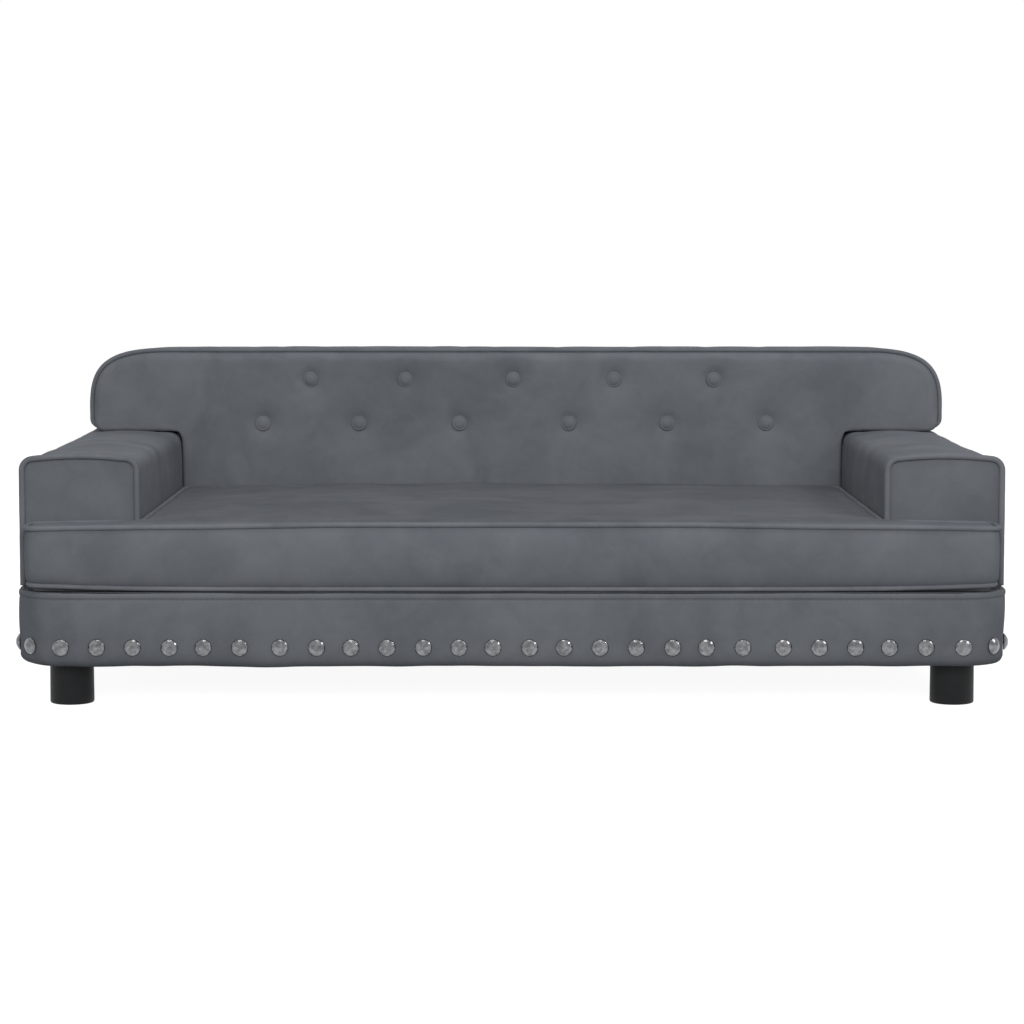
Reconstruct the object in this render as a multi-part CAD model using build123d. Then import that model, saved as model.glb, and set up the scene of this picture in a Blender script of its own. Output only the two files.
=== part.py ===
from build123d import *
import math
import os

# A small upholstered sofa for a dog, in millimetres, +Z up.
# The origin is on the floor in the middle of the plan, +X to the right, +Y to the back.

# Overall sizes
bed_depth = 530.0
base_width = 896.0
base_height = 67.6
foot_height = 38.4
arm_rise = 118.5
back_rise = 201.0
seat_thickness = 63.2

# Cloth, foam and boards used all over the bed
cloth = 1.2
foam = 10.0
ply = 12.0
thick_ply = 15.0
rail_thickness = 18.0
piping_radius = 2.3
piping_proud = 2.0
gap = 0.3
overrun = 5.0

# Base
front_corner_radius = 45.0
rear_corner_radius = 16.0
bottom_roll = 9.0
turn_under = 24.0
corner_block_size = 70.0

# Feet
foot_radius = 20.0
foot_edge_chamfer = 1.5
foot_from_front = 48.0
foot_from_side = 46.4
stud_radius = 4.0
stud_in_foot = 20.0
stud_in_block = 26.0
insert_wall = 2.0
insert_length = 22.0

# Decorative nails
nail_radius = 7.3
nail_rise = 3.6
nail_shank_width = 1.8
nail_shank_length = 18.0
nail_height = 18.0
nail_pitch = 32.4
nail_rear_margin = 20.0
nail_stray_shares = [
    0, 0, -0.01, 0.01, -0.05, -0.04, 0.07, 0.09, 0.04, 0.04, 0.05, 0.03, -0.03,
    -0.01, -0.06, -0.06, -0.06, -0.05, -0.12, -0.11, 0.01, 0.01, 0.01, -0.05, -0.04, 0,
]

# Arms
arm_width = 106.0
arm_setback = 57.0
arm_shoulder_radius = 10.5
arm_crown = 2.5
arm_press = 2.0
arm_foam_top = 16.0

# Back
back_thickness = 97.0
back_shift = 4.1
wing_end_inset = 9.1
wing_corner_width = 78.7
wing_corner_height = 58.2
wing_corner_top_share = 0.84
wing_corner_side_share = 0.67
wing_lower_radius = 12.0
back_roll = 9.0
batten_depth = 50.0

# Buttons pulled into the back
button_radius = 7.5
button_thickness = 4.6
button_rim = 1.4
button_pitch = 104.2
upper_button_drop = 30.5
lower_button_drop = 75.5
dimple_radius = 26.0
dimple_depth = 6.0
dimple_floor_margin = 1.0
twine_radius = 0.8
upper_button_shares = [-2.00, -1.06, 0.01, 1.01, 2.00]
lower_button_shares = [-2.47, -1.52, -0.52, 0.56, 1.54, 2.52]

# Seat cushion
cushion_side_gap = 0.5
cushion_rear_gap = 6.0
cushion_ear_inset = 9.0
cushion_bulge = 2.0
cushion_crown = 3.0
cushion_ear_radius = 12.0
cushion_notch_radius = 5.0
cushion_rear_radius = 10.0
ear_top_drop = 5.0
ear_bottom_lift = 4.0
ear_bend_radius = 400.0

# Zip in the rear of the cushion
zip_length = 420.0
zip_tape_height = 24.0
zip_recess = 3.4
zip_tape_thickness = 0.8
zip_teeth_height = 5.0
zip_teeth_thickness = 1.6
slider_length = 13.0
slider_height = 9.0
slider_shell = 0.9
zip_stop_length = 3.0

# Bolts from under the deck
bolt_radius = 3.0
bolt_head_radius = 6.5
bolt_head_height = 4.0
nut_barrel_wall = 1.2
nut_barrel_length = 9.0
nut_flange_radius = 9.0
nut_flange_thickness = 1.5
arm_bolt_offset = 130.0
back_bolt_offset = 240.0

# Levels and planes that the pieces share
front_face = -bed_depth / 2 + nail_rise
rear_face = bed_depth / 2
half_width = base_width / 2
deck_top = foot_height + base_height
wood_inset = cloth + foam
rail_bottom = foot_height + cloth
board_top = deck_top - cloth
board_bottom = board_top - ply
arm_front = front_face + arm_setback
arm_rear = rear_face - cloth
arm_inner = half_width - arm_width
arm_middle = half_width - arm_width / 2
arm_top = deck_top + arm_rise
pressed_top = arm_top - arm_press
back_stem = arm_inner - piping_proud - gap
wing_half_width = half_width - wing_end_inset
back_front = rear_face - back_thickness
back_top = deck_top + back_rise
seat_top = deck_top + seat_thickness
left_and_right = [("left", -1), ("right", 1)]

os.makedirs("parts", exist_ok=True)


def save(piece, name):
    piece.label = name
    export_step(piece, "parts/" + name + ".step")


def group(solids):
    return Compound(children=[solid for shape in solids for solid in shape.solids()])


def main_piece(shape):
    """The largest solid, without the offcuts that a welt leaves beside it."""
    return Part(shape.solids().sort_by(SortBy.VOLUME)[-1].wrapped)


def block(low, high):
    size = [b - a for a, b in zip(low, high)]
    middle = [(a + b) / 2 for a, b in zip(low, high)]
    return Pos(*middle) * Box(*size)


def upright(face, front, rear):
    """Stretch an outline that is drawn in X and Z from the front plane to the rear one."""
    return extrude(Plane.XZ.offset(-rear) * face, amount=rear - front)


def standing_rod(x, y, low, high, radius):
    return Pos(x, y, (low + high) / 2) * Cylinder(radius, high - low)


def bead(path):
    """A round welt along a path."""
    start = Plane(origin=path @ 0, z_dir=path % 0)
    return sweep(start * Circle(piping_radius), path=path)


def quarter_oval(width, height, radius):
    """The point where the small side arc of a two-arc quarter oval meets its large one."""
    fall = ((width - radius) ** 2 - (height - radius) ** 2) / (2 * (height - radius))
    reach = math.hypot(width - radius, fall)
    share = radius / reach
    return (width - radius) * (1 + share), fall * share


# Base: frame, deck, foam and velvet band


def base_plan(inset):
    width = base_width - 2 * inset
    depth = rear_face - front_face - 2 * inset
    plan = Pos(0, (front_face + rear_face) / 2) * Rectangle(width, depth)
    plan = fillet(plan.vertices().sort_by(Axis.Y)[:2], max(front_corner_radius - inset, gap))
    return fillet(plan.vertices().sort_by(Axis.Y)[-2:], max(rear_corner_radius - inset, gap))


def base_layer(inset, low, high):
    return Pos(0, 0, low) * extrude(base_plan(inset), amount=high - low)


def base_tub(inset, high):
    tub = base_layer(inset, foot_height + inset, high)
    rim = tub.faces().sort_by(Axis.Z)[0].outer_wire().edges()
    return fillet(rim, bottom_roll - inset)


def four_sides(shape):
    """Cut a band round the base into its front, left, right and rear lengths."""
    far = base_width
    low = front_face + front_corner_radius
    high = rear_face - max(rear_corner_radius, turn_under)
    return {
        "front": shape & block((-far, -far, -far), (far, low, far)),
        "left": shape & block((-far, low, -far), (0, high, far)),
        "right": shape & block((0, low, -far), (far, high, far)),
        "rear": shape & block((-far, high, -far), (far, far, far)),
    }


foot_places = [
    (row, side, sign * (half_width - foot_from_side), place)
    for row, place in (("front", front_face + foot_from_front), ("rear", rear_face - foot_from_front))
    for side, sign in left_and_right
]
arm_bolt_places = [
    (sign * arm_middle, place)
    for side, sign in left_and_right
    for place in (-arm_bolt_offset, arm_bolt_offset)
]
batten_middle = rear_face - cloth - ply - batten_depth / 2
back_bolt_places = [(x, batten_middle) for x in (-back_bolt_offset, 0, back_bolt_offset)]
deck_bolt_places = arm_bolt_places + back_bolt_places


def deck_bolt(x, y):
    shank = standing_rod(x, y, board_bottom, deck_top + thick_ply, bolt_radius)
    return shank + standing_rod(x, y, board_bottom - bolt_head_height, board_bottom, bolt_head_radius)


def tee_nut(x, y):
    seat = deck_top + thick_ply
    barrel_radius = bolt_radius + nut_barrel_wall
    barrel = standing_rod(x, y, seat - nut_barrel_length, seat, barrel_radius)
    flange = standing_rod(x, y, seat, seat + nut_flange_thickness, nut_flange_radius)
    return barrel + flange - standing_rod(x, y, deck_top, seat + overrun, bolt_radius)


deck_bolts = [deck_bolt(x, y) for x, y in deck_bolt_places]
tee_nuts = [tee_nut(x, y) for x, y in deck_bolt_places]
bolt_holes = [standing_rod(x, y, 0, deck_top + thick_ply, bolt_radius) for x, y in deck_bolt_places]

# Nails along the front, round its corners and along the sides


def nail_place(run):
    """The point on the base and the way it faces, for a distance from the middle of the front."""
    side = math.copysign(1, run)
    straight = half_width - front_corner_radius
    past = abs(run) - straight
    quarter = front_corner_radius * math.pi / 2
    if past <= 0:
        return run, front_face, -90
    if past < quarter:
        turn = past / front_corner_radius
        x = straight + front_corner_radius * math.sin(turn)
        y = front_face + front_corner_radius * (1 - math.cos(turn))
        return side * x, y, -90 + side * math.degrees(turn)
    return side * half_width, front_face + front_corner_radius + past - quarter, -90 + side * 90


def nail_frame(run):
    x, y, heading = nail_place(run)
    return Pos(x, y, foot_height + nail_height) * Rot(0, 0, heading) * Rot(0, 90, 0)


nail_dome = make_face([
    Line((0, 0), (nail_radius, 0)),
    TangentArc((0, nail_rise), (nail_radius, 0), tangent=(1, 0)),
    Line((0, nail_rise), (0, 0)),
])
nail_shank = Pos(0, 0, -nail_shank_length / 2) * Box(nail_shank_width, nail_shank_width, nail_shank_length)
nail = revolve(Plane.XZ * nail_dome, axis=Axis.Z) + nail_shank

half_front = half_width - front_corner_radius + front_corner_radius * math.pi / 2
half_run = half_front + rear_face - front_face - front_corner_radius - nail_rear_margin
nails_each_way = int(half_run / nail_pitch)
strays = len(nail_stray_shares)
nail_runs = [
    (step + 0.5 + nail_stray_shares[(step + strays // 2) % strays]) * nail_pitch
    for step in range(-nails_each_way, nails_each_way)
]
nail_rows = {
    "front": [run for run in nail_runs if abs(run) < half_front],
    "left": [run for run in nail_runs if run <= -half_front],
    "right": [run for run in nail_runs if run >= half_front],
}
nail_holes = {row: [nail_frame(run) * nail_shank for run in runs] for row, runs in nail_rows.items()}


def build_base():
    padding = base_tub(cloth, board_top) - base_layer(wood_inset, 0, deck_top)
    cover = base_tub(0, deck_top) - base_tub(cloth, deck_top + overrun)
    cover -= base_layer(turn_under, 0, deck_top)
    for name, piece in four_sides(padding).items():
        save(piece - nail_holes.get(name, []), "base_padding_" + name)
    for name, piece in four_sides(cover).items():
        save(piece - nail_holes.get(name, []), "base_cover_" + name)
    for row, runs in nail_rows.items():
        save(group([nail_frame(run) * nail for run in runs]), "nails_" + row)

    inner = half_width - wood_inset
    front = front_face + wood_inset
    rear = rear_face - wood_inset
    wood = base_layer(wood_inset, rail_bottom, board_bottom)
    all_nail_holes = [hole for holes in nail_holes.values() for hole in holes]
    side_low = front + corner_block_size
    side_high = rear - corner_block_size
    across = inner - corner_block_size
    studs = [standing_rod(x, y, foot_height - stud_in_foot, rail_bottom + stud_in_block, stud_radius)
             for row, side, x, y in foot_places]
    sleeves = [standing_rod(x, y, rail_bottom, rail_bottom + insert_length, stud_radius + insert_wall)
               for row, side, x, y in foot_places]
    for row, side, x, y in foot_places:
        near = side_low if row == "front" else side_high
        far = math.copysign(bed_depth, y)
        corner = wood & block((across, min(near, far), 0), (base_width, max(near, far), deck_top))
        corner = corner if side == "right" else mirror(corner, about=Plane.YZ)
        save(corner - studs - sleeves - all_nail_holes, "corner_block_" + row + "_" + side)
    front_rail = block((-across, front, rail_bottom), (across, front + rail_thickness, board_bottom))
    save(front_rail - nail_holes["front"], "front_rail")
    save(block((-across, rear - rail_thickness, rail_bottom), (across, rear, board_bottom)), "rear_rail")
    for side, sign in left_and_right:
        edges = sorted((sign * inner, sign * (inner - rail_thickness)))
        rail = block((edges[0], side_low, rail_bottom), (edges[1], side_high, board_bottom))
        save(rail - nail_holes[side], side + "_rail")
    centre = block(
        (-rail_thickness / 2, front + rail_thickness, rail_bottom),
        (rail_thickness / 2, rear - rail_thickness, board_bottom),
    )
    save(centre - deck_bolts, "centre_rail")
    save(base_layer(wood_inset, board_bottom, board_top) - bolt_holes, "deck_board")
    save(base_layer(cloth, board_top, deck_top) - bolt_holes, "deck_cloth")
    save(base_layer(turn_under, foot_height, rail_bottom) - studs, "dust_cover")
    save(group(studs), "foot_studs")
    save(group([sleeve - studs for sleeve in sleeves]), "foot_inserts")
    for row, side, x, y in foot_places:
        foot = standing_rod(x, y, 0, foot_height, foot_radius)
        foot = chamfer(foot.edges().sort_by(Axis.Z)[0], foot_edge_chamfer)
        save(foot - studs, "foot_" + row + "_" + side)
    save(group(deck_bolts), "deck_bolts")
    save(group(tee_nuts), "tee_nuts")


# Arms: a plywood carcass with foam and velvet over it


def arm_outline_edges(inset):
    """The outline of an arm from the front: two sides and a crowned top on round shoulders."""
    half = arm_width / 2 - inset
    radius = arm_shoulder_radius - inset
    shoulder = arm_top - arm_crown - arm_shoulder_radius
    meet_x, meet_z = quarter_oval(half, radius + arm_crown, radius)
    top = (arm_middle, shoulder + radius + arm_crown)
    outer = (arm_middle + meet_x, shoulder + meet_z)
    inner = (arm_middle - meet_x, shoulder + meet_z)
    return [
        Line((arm_middle - half, deck_top), (arm_middle - half, shoulder)),
        TangentArc((arm_middle - half, shoulder), inner, tangent=(0, 1)),
        TangentArc(top, inner, tangent=(-1, 0)),
        TangentArc(top, outer, tangent=(1, 0)),
        TangentArc((arm_middle + half, shoulder), outer, tangent=(0, 1)),
        Line((arm_middle + half, shoulder), (arm_middle + half, deck_top)),
    ]


def arm_face(inset):
    edges = arm_outline_edges(inset)
    foot_line = Line(edges[-1] @ 1, edges[0] @ 0)
    return make_face(edges + [foot_line])


def build_arms():
    welt_plane = arm_front + piping_radius / 2
    welt_lines = Wire(arm_outline_edges(piping_radius - piping_proud))
    welt = bead(Plane.XZ.offset(-welt_plane) * welt_lines)
    far = base_width
    pressed = block((0, back_front, pressed_top), (far, far, far))
    front_panel = upright(arm_face(0), arm_front, arm_front + cloth) - welt
    wrap = upright(arm_face(0) - arm_face(cloth), arm_front + cloth, arm_rear)
    cover = wrap + upright(arm_face(0), arm_rear, rear_face) - welt - pressed
    core_side = cloth + foam
    carcass_low = (arm_inner + core_side, arm_front + core_side, deck_top)
    carcass_high = (half_width - core_side, arm_rear - foam, pressed_top - cloth - arm_foam_top)
    carcass = block(carcass_low, carcass_high)
    hollow_low = [a + ply for a in carcass_low[:2]]
    hollow_high = [a - ply for a in carcass_high]
    hollow = block((*hollow_low, deck_top), hollow_high)
    pressed_foam = block((0, back_front, pressed_top - cloth), (far, far, far))
    padding = upright(arm_face(cloth), arm_front + cloth, arm_rear) - carcass - welt - pressed_foam
    board = block((*hollow_low, deck_top), (*hollow_high[:2], deck_top + thick_ply)) - tee_nuts - bolt_holes
    pieces = {
        "arm_front_panel": front_panel,
        "arm_cover": cover,
        "arm_piping": welt,
        "arm_padding": padding,
        "arm_carcass": carcass - hollow,
        "arm_base_board": board,
    }
    for name, piece in pieces.items():
        save(piece, "right_" + name)
        save(mirror(piece, about=Plane.YZ), "left_" + name)


# Back: a T-shaped board with foam, a tufted front panel and boxing


def wing_edges(inset, reach):
    """Half of the back's outline, with its stem beside the arm and a wing as long as its reach."""
    stem = back_stem - inset
    wing = reach - inset
    top = back_top - inset
    low = pressed_top + piping_proud + inset
    width = wing_corner_width - inset
    height = wing_corner_height - inset
    shoulder = top - height
    corner = [
        (wing, shoulder),
        (wing, shoulder + height * wing_corner_side_share),
        (wing - width + width * wing_corner_top_share, top),
        (wing - width, top),
    ]
    lower = wing_lower_radius - inset
    notch = arm_shoulder_radius + piping_proud + gap + inset
    return [
        Line((stem, deck_top), (stem, low - notch)),
        TangentArc((stem, low - notch), (stem + notch, low), tangent=(0, 1)),
        Line((stem + notch, low), (wing - lower, low)),
        TangentArc((wing - lower, low), (wing, low + lower), tangent=(1, 0)),
        Line((wing, low + lower), (wing, shoulder)),
        Bezier(*corner),
    ]


def back_outline_edges(inset):
    """The T of the back, open at the deck. Its wings were sewn a little to the right of the stem."""
    right = wing_edges(inset, wing_half_width + back_shift)
    left = [mirror(edge, about=Plane.YZ).edge() for edge in wing_edges(inset, wing_half_width - back_shift)]
    return right + [Line(right[-1] @ 1, left[-1] @ 1)] + left[::-1]


def back_face(inset):
    edges = back_outline_edges(inset)
    stem = back_stem - inset
    return make_face(edges + [Line((-stem, deck_top), (stem, deck_top))])


def back_form(inset, rear):
    form = upright(back_face(inset), back_front + inset, rear)
    rim = form.faces().sort_by(Axis.Y)[0].outer_wire().edges()
    rim = rim.filter_by(lambda edge: (edge @ 0.5).Z > deck_top + inset + gap)
    return fillet(rim, back_roll - inset)


button_places = [
    (share * button_pitch, back_top - drop)
    for shares, drop in ((upper_button_shares, upper_button_drop), (lower_button_shares, lower_button_drop))
    for share in shares
]


def dimple(inset):
    """The funnel that a button pulls into the padding, round +Z, with its mouth on the plane."""
    floor = button_radius + dimple_floor_margin
    deep = -dimple_depth - inset
    rim = (dimple_radius, -inset)
    edges = [
        Line((0, overrun), (0, deep)),
        Line((0, deep), (floor, deep)),
        TangentArc(rim, (floor, deep), tangent=(-1, 0)),
        Line(rim, (dimple_radius, overrun)),
        Line((dimple_radius, overrun), (0, overrun)),
    ]
    return revolve(Plane.XZ * make_face(edges), axis=Axis.Z)


def at_buttons(shape):
    return [Pos(x, back_front, z) * Rot(90, 0, 0) * shape for x, z in button_places]


def button():
    """A covered button: a short straight rim under a domed top, on the floor of its dimple."""
    edges = [
        Line((0, 0), (button_radius, 0)),
        Line((button_radius, 0), (button_radius, button_rim)),
        TangentArc((0, button_thickness), (button_radius, button_rim), tangent=(1, 0)),
        Line((0, button_thickness), (0, 0)),
    ]
    return Pos(0, 0, -dimple_depth) * revolve(Plane.XZ * make_face(edges), axis=Axis.Z)


def build_back():
    seam = back_front + back_roll
    inner_rear = rear_face - cloth
    welt_inset = piping_radius - piping_proud
    welt_lines = Wire(back_outline_edges(welt_inset))
    welt = bead(Plane.XZ.offset(-seam) * welt_lines)
    outer = back_form(0, rear_face) - at_buttons(dimple(0))
    inner = back_form(cloth, inner_rear) - at_buttons(dimple(cloth))
    twine_length = inner_rear - back_front - dimple_depth
    twine = Pos(0, 0, -dimple_depth - twine_length / 2) * Cylinder(twine_radius, twine_length)
    twines = at_buttons(twine)
    front = block((-base_width, -base_width, 0), (base_width, seam, base_width))
    rear = block((-base_width, inner_rear, 0), (base_width, base_width, base_width))
    shell = outer - inner - welt
    save((shell & front) - twines, "back_front_cover")
    save(shell - front - rear, "back_boxing")
    save(upright(back_face(0), inner_rear, rear_face), "back_rear_cover")
    save(welt, "back_piping")
    board = upright(back_face(cloth + foam), inner_rear - ply, inner_rear)
    batten_side = back_stem - cloth - foam
    batten = block(
        (-batten_side, inner_rear - ply - batten_depth, deck_top),
        (batten_side, inner_rear - ply, deck_top + thick_ply),
    )
    save(board - twines, "back_board")
    save(batten - tee_nuts - bolt_holes, "back_batten")
    save(inner - board - batten - tee_nuts - twines - welt, "back_padding")
    save(group(at_buttons(button())), "back_buttons")
    save(group(twines), "back_twines")


# Seat cushion: a boxed T whose ears lie in front of the arms

cushion_front = front_face + cushion_bulge
cushion_rear = back_front - cushion_rear_gap
cushion_stem = arm_inner - piping_proud - cushion_side_gap - piping_proud
cushion_ear = half_width - cushion_ear_inset
cushion_notch = arm_front - piping_proud - cushion_side_gap - piping_proud
upper_seam = seat_top - piping_radius
lower_seam = deck_top + piping_radius + gap


def cushion_corners(inset):
    """Right-hand corners of the T, from the front round to the rear, with their radii."""
    return [
        ((cushion_ear - inset, cushion_front + inset), cushion_ear_radius - inset),
        ((cushion_ear - inset, cushion_notch - inset), cushion_ear_radius - inset),
        ((cushion_stem - inset, cushion_notch - inset), cushion_notch_radius + inset),
        ((cushion_stem - inset, cushion_rear - inset), cushion_rear_radius - inset),
    ]


def cushion_plan(inset):
    right = cushion_corners(inset)
    left = [((-x, y), radius) for (x, y), radius in right[::-1]]
    points = [point for point, radius in right + left]
    radii = [radius for point, radius in right + left]
    return make_face(FilletPolyline(*points, radius=radii, close=True))


def cushion_lens(low, high, low_change=ear_bottom_lift, high_change=-ear_top_drop, crown=0):
    """All between two levels which change over the ears, under an arch across the width if crowned."""
    near = cushion_stem + cushion_notch_radius
    far = base_width
    reach = (far - near) / (cushion_ear - near)
    right = [
        (near, high),
        (far, high + high_change * reach),
        (far, low + low_change * reach),
        (near, low),
    ]
    left = [(-x, z) for x, z in right[::-1]]
    if crown:
        top = ThreePointArc(left[-1], (0, high + crown), right[0])
    else:
        top = Line(left[-1], right[0])
    return upright(make_face([top, Polyline(*right, *left)]), -far, far)


def cushion_arch(inset):
    """All under an arch from the front of the seat to its rear, over the whole width."""
    level = seat_top - inset
    front = cushion_front - overrun
    rear = cushion_rear + overrun
    top = ThreePointArc((front, level), ((front + rear) / 2, level + cushion_crown), (rear, level))
    sides = Polyline((rear, level), (rear, 0), (front, 0), (front, level))
    return extrude(Plane.YZ.offset(-base_width) * make_face([top, sides]), amount=2 * base_width)


def cushion_form(inset):
    """The sides pass a little below and above the seat, and the seat's own levels cut them."""
    half = seat_thickness / 2
    beyond = half + cushion_crown + overrun
    drawn_in = cushion_bulge * ((beyond / half) ** 2 - 1)
    middle = (deck_top + seat_top) / 2
    sections = [
        Pos(0, 0, middle - beyond) * cushion_plan(inset + drawn_in),
        Pos(0, 0, middle) * cushion_plan(inset - cushion_bulge),
        Pos(0, 0, middle + beyond) * cushion_plan(inset + drawn_in),
    ]
    crowned = cushion_lens(deck_top + inset, seat_top - inset, crown=cushion_crown)
    return loft(sections) & crowned & cushion_arch(inset)


def cushion_welt(seam, ear_change):
    right = []
    for (x, y), radius in cushion_corners(piping_radius - piping_proud):
        height = seam + (ear_change if x > cushion_stem else 0)
        right.append(((x, y, height), radius))
    bend = ((cushion_stem + cushion_notch_radius, right[0][0][1], seam), ear_bend_radius)
    right.insert(0, bend)
    left = [((-x, y, z), radius) for (x, y, z), radius in right[::-1]]
    points = [point for point, radius in right + left]
    radii = [radius for point, radius in right + left]
    return bead(FilletPolyline(*points, radius=radii, close=True))


def build_cushion():
    upper = cushion_welt(upper_seam, -ear_top_drop)
    lower = cushion_welt(lower_seam, ear_bottom_lift)
    outer = cushion_form(0)
    core = cushion_form(cloth)
    between = cushion_lens(lower_seam, upper_seam)
    zip_middle = (deck_top + seat_top) / 2
    skin = cushion_rear + cushion_bulge
    floor = skin - zip_recess

    def along_zip(length, height, front, rear):
        return block(
            (-length / 2, front, zip_middle - height / 2),
            (length / 2, rear, zip_middle + height / 2),
        )

    pocket = along_zip(zip_length, zip_tape_height, floor, skin + overrun)
    above = cushion_lens(upper_seam, seat_top + cushion_crown + overrun, low_change=-ear_top_drop)
    below = cushion_lens(deck_top - overrun, lower_seam, high_change=ear_bottom_lift)
    save(main_piece((outer & above) - core - upper), "cushion_top_panel")
    save(main_piece((outer & below) - core - lower), "cushion_bottom_panel")
    save(main_piece((outer & between) - core - upper - lower - pocket), "cushion_boxing")
    save(main_piece(core - upper - lower - pocket), "cushion_core")
    save(upper, "cushion_upper_piping")
    save(lower, "cushion_lower_piping")
    tape_face = floor + zip_tape_thickness
    teeth_face = tape_face + zip_teeth_thickness
    teeth_length = zip_length - 2 * zip_stop_length
    tape = along_zip(zip_length, zip_tape_height, floor, tape_face)
    save(tape + along_zip(teeth_length, zip_teeth_height, tape_face, teeth_face), "zip_tape")
    slider = along_zip(slider_length, slider_height, tape_face + gap, teeth_face + gap + slider_shell)
    slider -= along_zip(zip_length, zip_teeth_height + 2 * gap, floor, teeth_face + gap)
    slider = Pos((slider_length - teeth_length) / 2, 0, 0) * slider
    save(slider, "zip_slider")


build_base()
build_arms()
build_back()
build_cushion()
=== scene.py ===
import bpy
import bmesh
import math
import numpy as np
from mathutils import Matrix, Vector, geometry, kdtree, noise


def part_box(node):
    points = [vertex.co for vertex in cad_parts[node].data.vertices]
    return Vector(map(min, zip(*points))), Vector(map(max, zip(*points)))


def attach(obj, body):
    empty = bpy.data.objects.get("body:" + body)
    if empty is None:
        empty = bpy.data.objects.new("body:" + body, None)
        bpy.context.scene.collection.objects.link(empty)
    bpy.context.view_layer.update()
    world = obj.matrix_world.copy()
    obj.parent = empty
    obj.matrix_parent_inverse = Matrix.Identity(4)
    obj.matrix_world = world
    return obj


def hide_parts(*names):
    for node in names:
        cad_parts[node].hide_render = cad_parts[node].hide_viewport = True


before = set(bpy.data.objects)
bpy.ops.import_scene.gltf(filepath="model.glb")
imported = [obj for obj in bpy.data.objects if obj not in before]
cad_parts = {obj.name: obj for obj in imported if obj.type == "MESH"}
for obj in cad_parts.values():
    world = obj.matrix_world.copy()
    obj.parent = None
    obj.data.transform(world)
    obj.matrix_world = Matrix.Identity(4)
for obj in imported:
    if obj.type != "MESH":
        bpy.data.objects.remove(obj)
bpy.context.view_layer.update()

# Timber of the base, the arms and the back.
# Sawn pine rails and blocks carry a plywood deck, and the arms and the back stand on it as
# plywood cases. All of it is screwed and stapled together, raw, and covered by the cloth.


def new_material(name, roughness, metallic=0.0):
    material = bpy.data.materials.new(name)
    material.use_nodes = True
    shader = material.node_tree.nodes["Principled BSDF"]
    shader.inputs["Roughness"].default_value = roughness
    shader.inputs["Metallic"].default_value = metallic
    return material, material.node_tree, shader


def add_node(tree, kind, inputs=(), **settings):
    """A shader node with its settings, and with numbers or other nodes' outputs in its sockets."""
    node = tree.nodes.new("ShaderNode" + kind)
    for key, value in settings.items():
        setattr(node, key, value)
    for key, value in dict(inputs).items():
        if isinstance(value, bpy.types.NodeSocket):
            tree.links.new(value, node.inputs[key])
        else:
            node.inputs[key].default_value = value
    return node


def place_on_piece(tree, stretch=(1, 1, 1)):
    """Where a point lies on its piece, in metres, stretched so that a pattern runs one way."""
    coordinates = add_node(tree, "TexCoord")
    mapping = add_node(tree, "Mapping", {"Vector": coordinates.outputs["Object"], "Scale": stretch})
    return mapping.outputs["Vector"]


def speckle(tree, place, scale, detail=2.0, roughness=0.5, distortion=0.0):
    inputs = {
        "Vector": place, "Scale": scale, "Detail": detail,
        "Roughness": roughness, "Distortion": distortion,
    }
    return add_node(tree, "TexNoise", inputs).outputs["Fac"]


def mottle(*numbers):
    """A speckle as a pattern for a finish."""
    return lambda tree, place: speckle(tree, place, *numbers)


def shades(tree, factor, stops):
    """A run of colours, given as (position, (red, green, blue))."""
    ramp = add_node(tree, "ValToRGB", {"Fac": factor})
    elements = ramp.color_ramp.elements
    while len(elements) < len(stops):
        elements.new(0.5)
    for element, (position, colour) in zip(elements, stops):
        element.position = position
        element.color = (*colour, 1)
    return ramp.outputs["Color"]


def bump(tree, shader, height, strength, distance):
    inputs = {"Height": height, "Strength": strength, "Distance": distance}
    node = add_node(tree, "Bump", inputs)
    tree.links.new(node.outputs["Normal"], shader.inputs["Normal"])


def finish(name, roughness, stops, pattern, grain=None, depth=None, metallic=0.0, stretch=(1, 1, 1)):
    """A material coloured by one pattern and roughened by another, or by the same one.

    A pattern takes the node tree and the place on the piece. depth is the bump's strength and
    its distance in metres.
    """
    material, tree, shader = new_material(name, roughness, metallic)
    place = place_on_piece(tree, stretch)
    factor = pattern(tree, place)
    tree.links.new(shades(tree, factor, stops), shader.inputs["Base Color"])
    if depth:
        bump(tree, shader, grain(tree, place) if grain else factor, *depth)
    return material


def make_wood(name, light, dark, grain_along):
    """Raw wood whose grain runs along X or Y, with fine pores in the bump."""
    rings = [(0.3, light), (0.52, dark), (0.6, light), (0.8, dark)]
    return finish(
        name, 0.62, rings, mottle(60.0, 3.0, 0.6, 0.6), mottle(900.0), (0.35, 0.0004), stretch=grain_along
    )


def dress(material, *names):
    """Give CAD nodes their finish."""
    for name in names:
        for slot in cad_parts[name].material_slots:
            slot.material = material


pine = (0.60, 0.42, 0.23), (0.47, 0.29, 0.13)
ply = (0.62, 0.47, 0.30), (0.52, 0.36, 0.20)
pine_across = make_wood("pine_across", *pine, (0.06, 1, 1))
pine_along = make_wood("pine_along", *pine, (1, 0.06, 1))
plywood = make_wood("plywood", *ply, (0.12, 0.7, 1))
sides = ("left", "right")
corners = [row + "_" + side for row in ("front", "rear") for side in sides]
dress(pine_across, "front_rail", "rear_rail", "back_batten")
dress(pine_along, "left_rail", "right_rail", "centre_rail", *["corner_block_" + corner for corner in corners])
dress(plywood, "deck_board", "back_board")
for side in sides:
    dress(plywood, side + "_arm_carcass", side + "_arm_base_board")

# Bolts, tee nuts and the feet's studs and inserts.
# Zinc-plated steel. The bolts come up from under the deck into tee nuts in the arms and the
# back, and each foot's stud screws into a threaded insert in its corner block.

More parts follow.
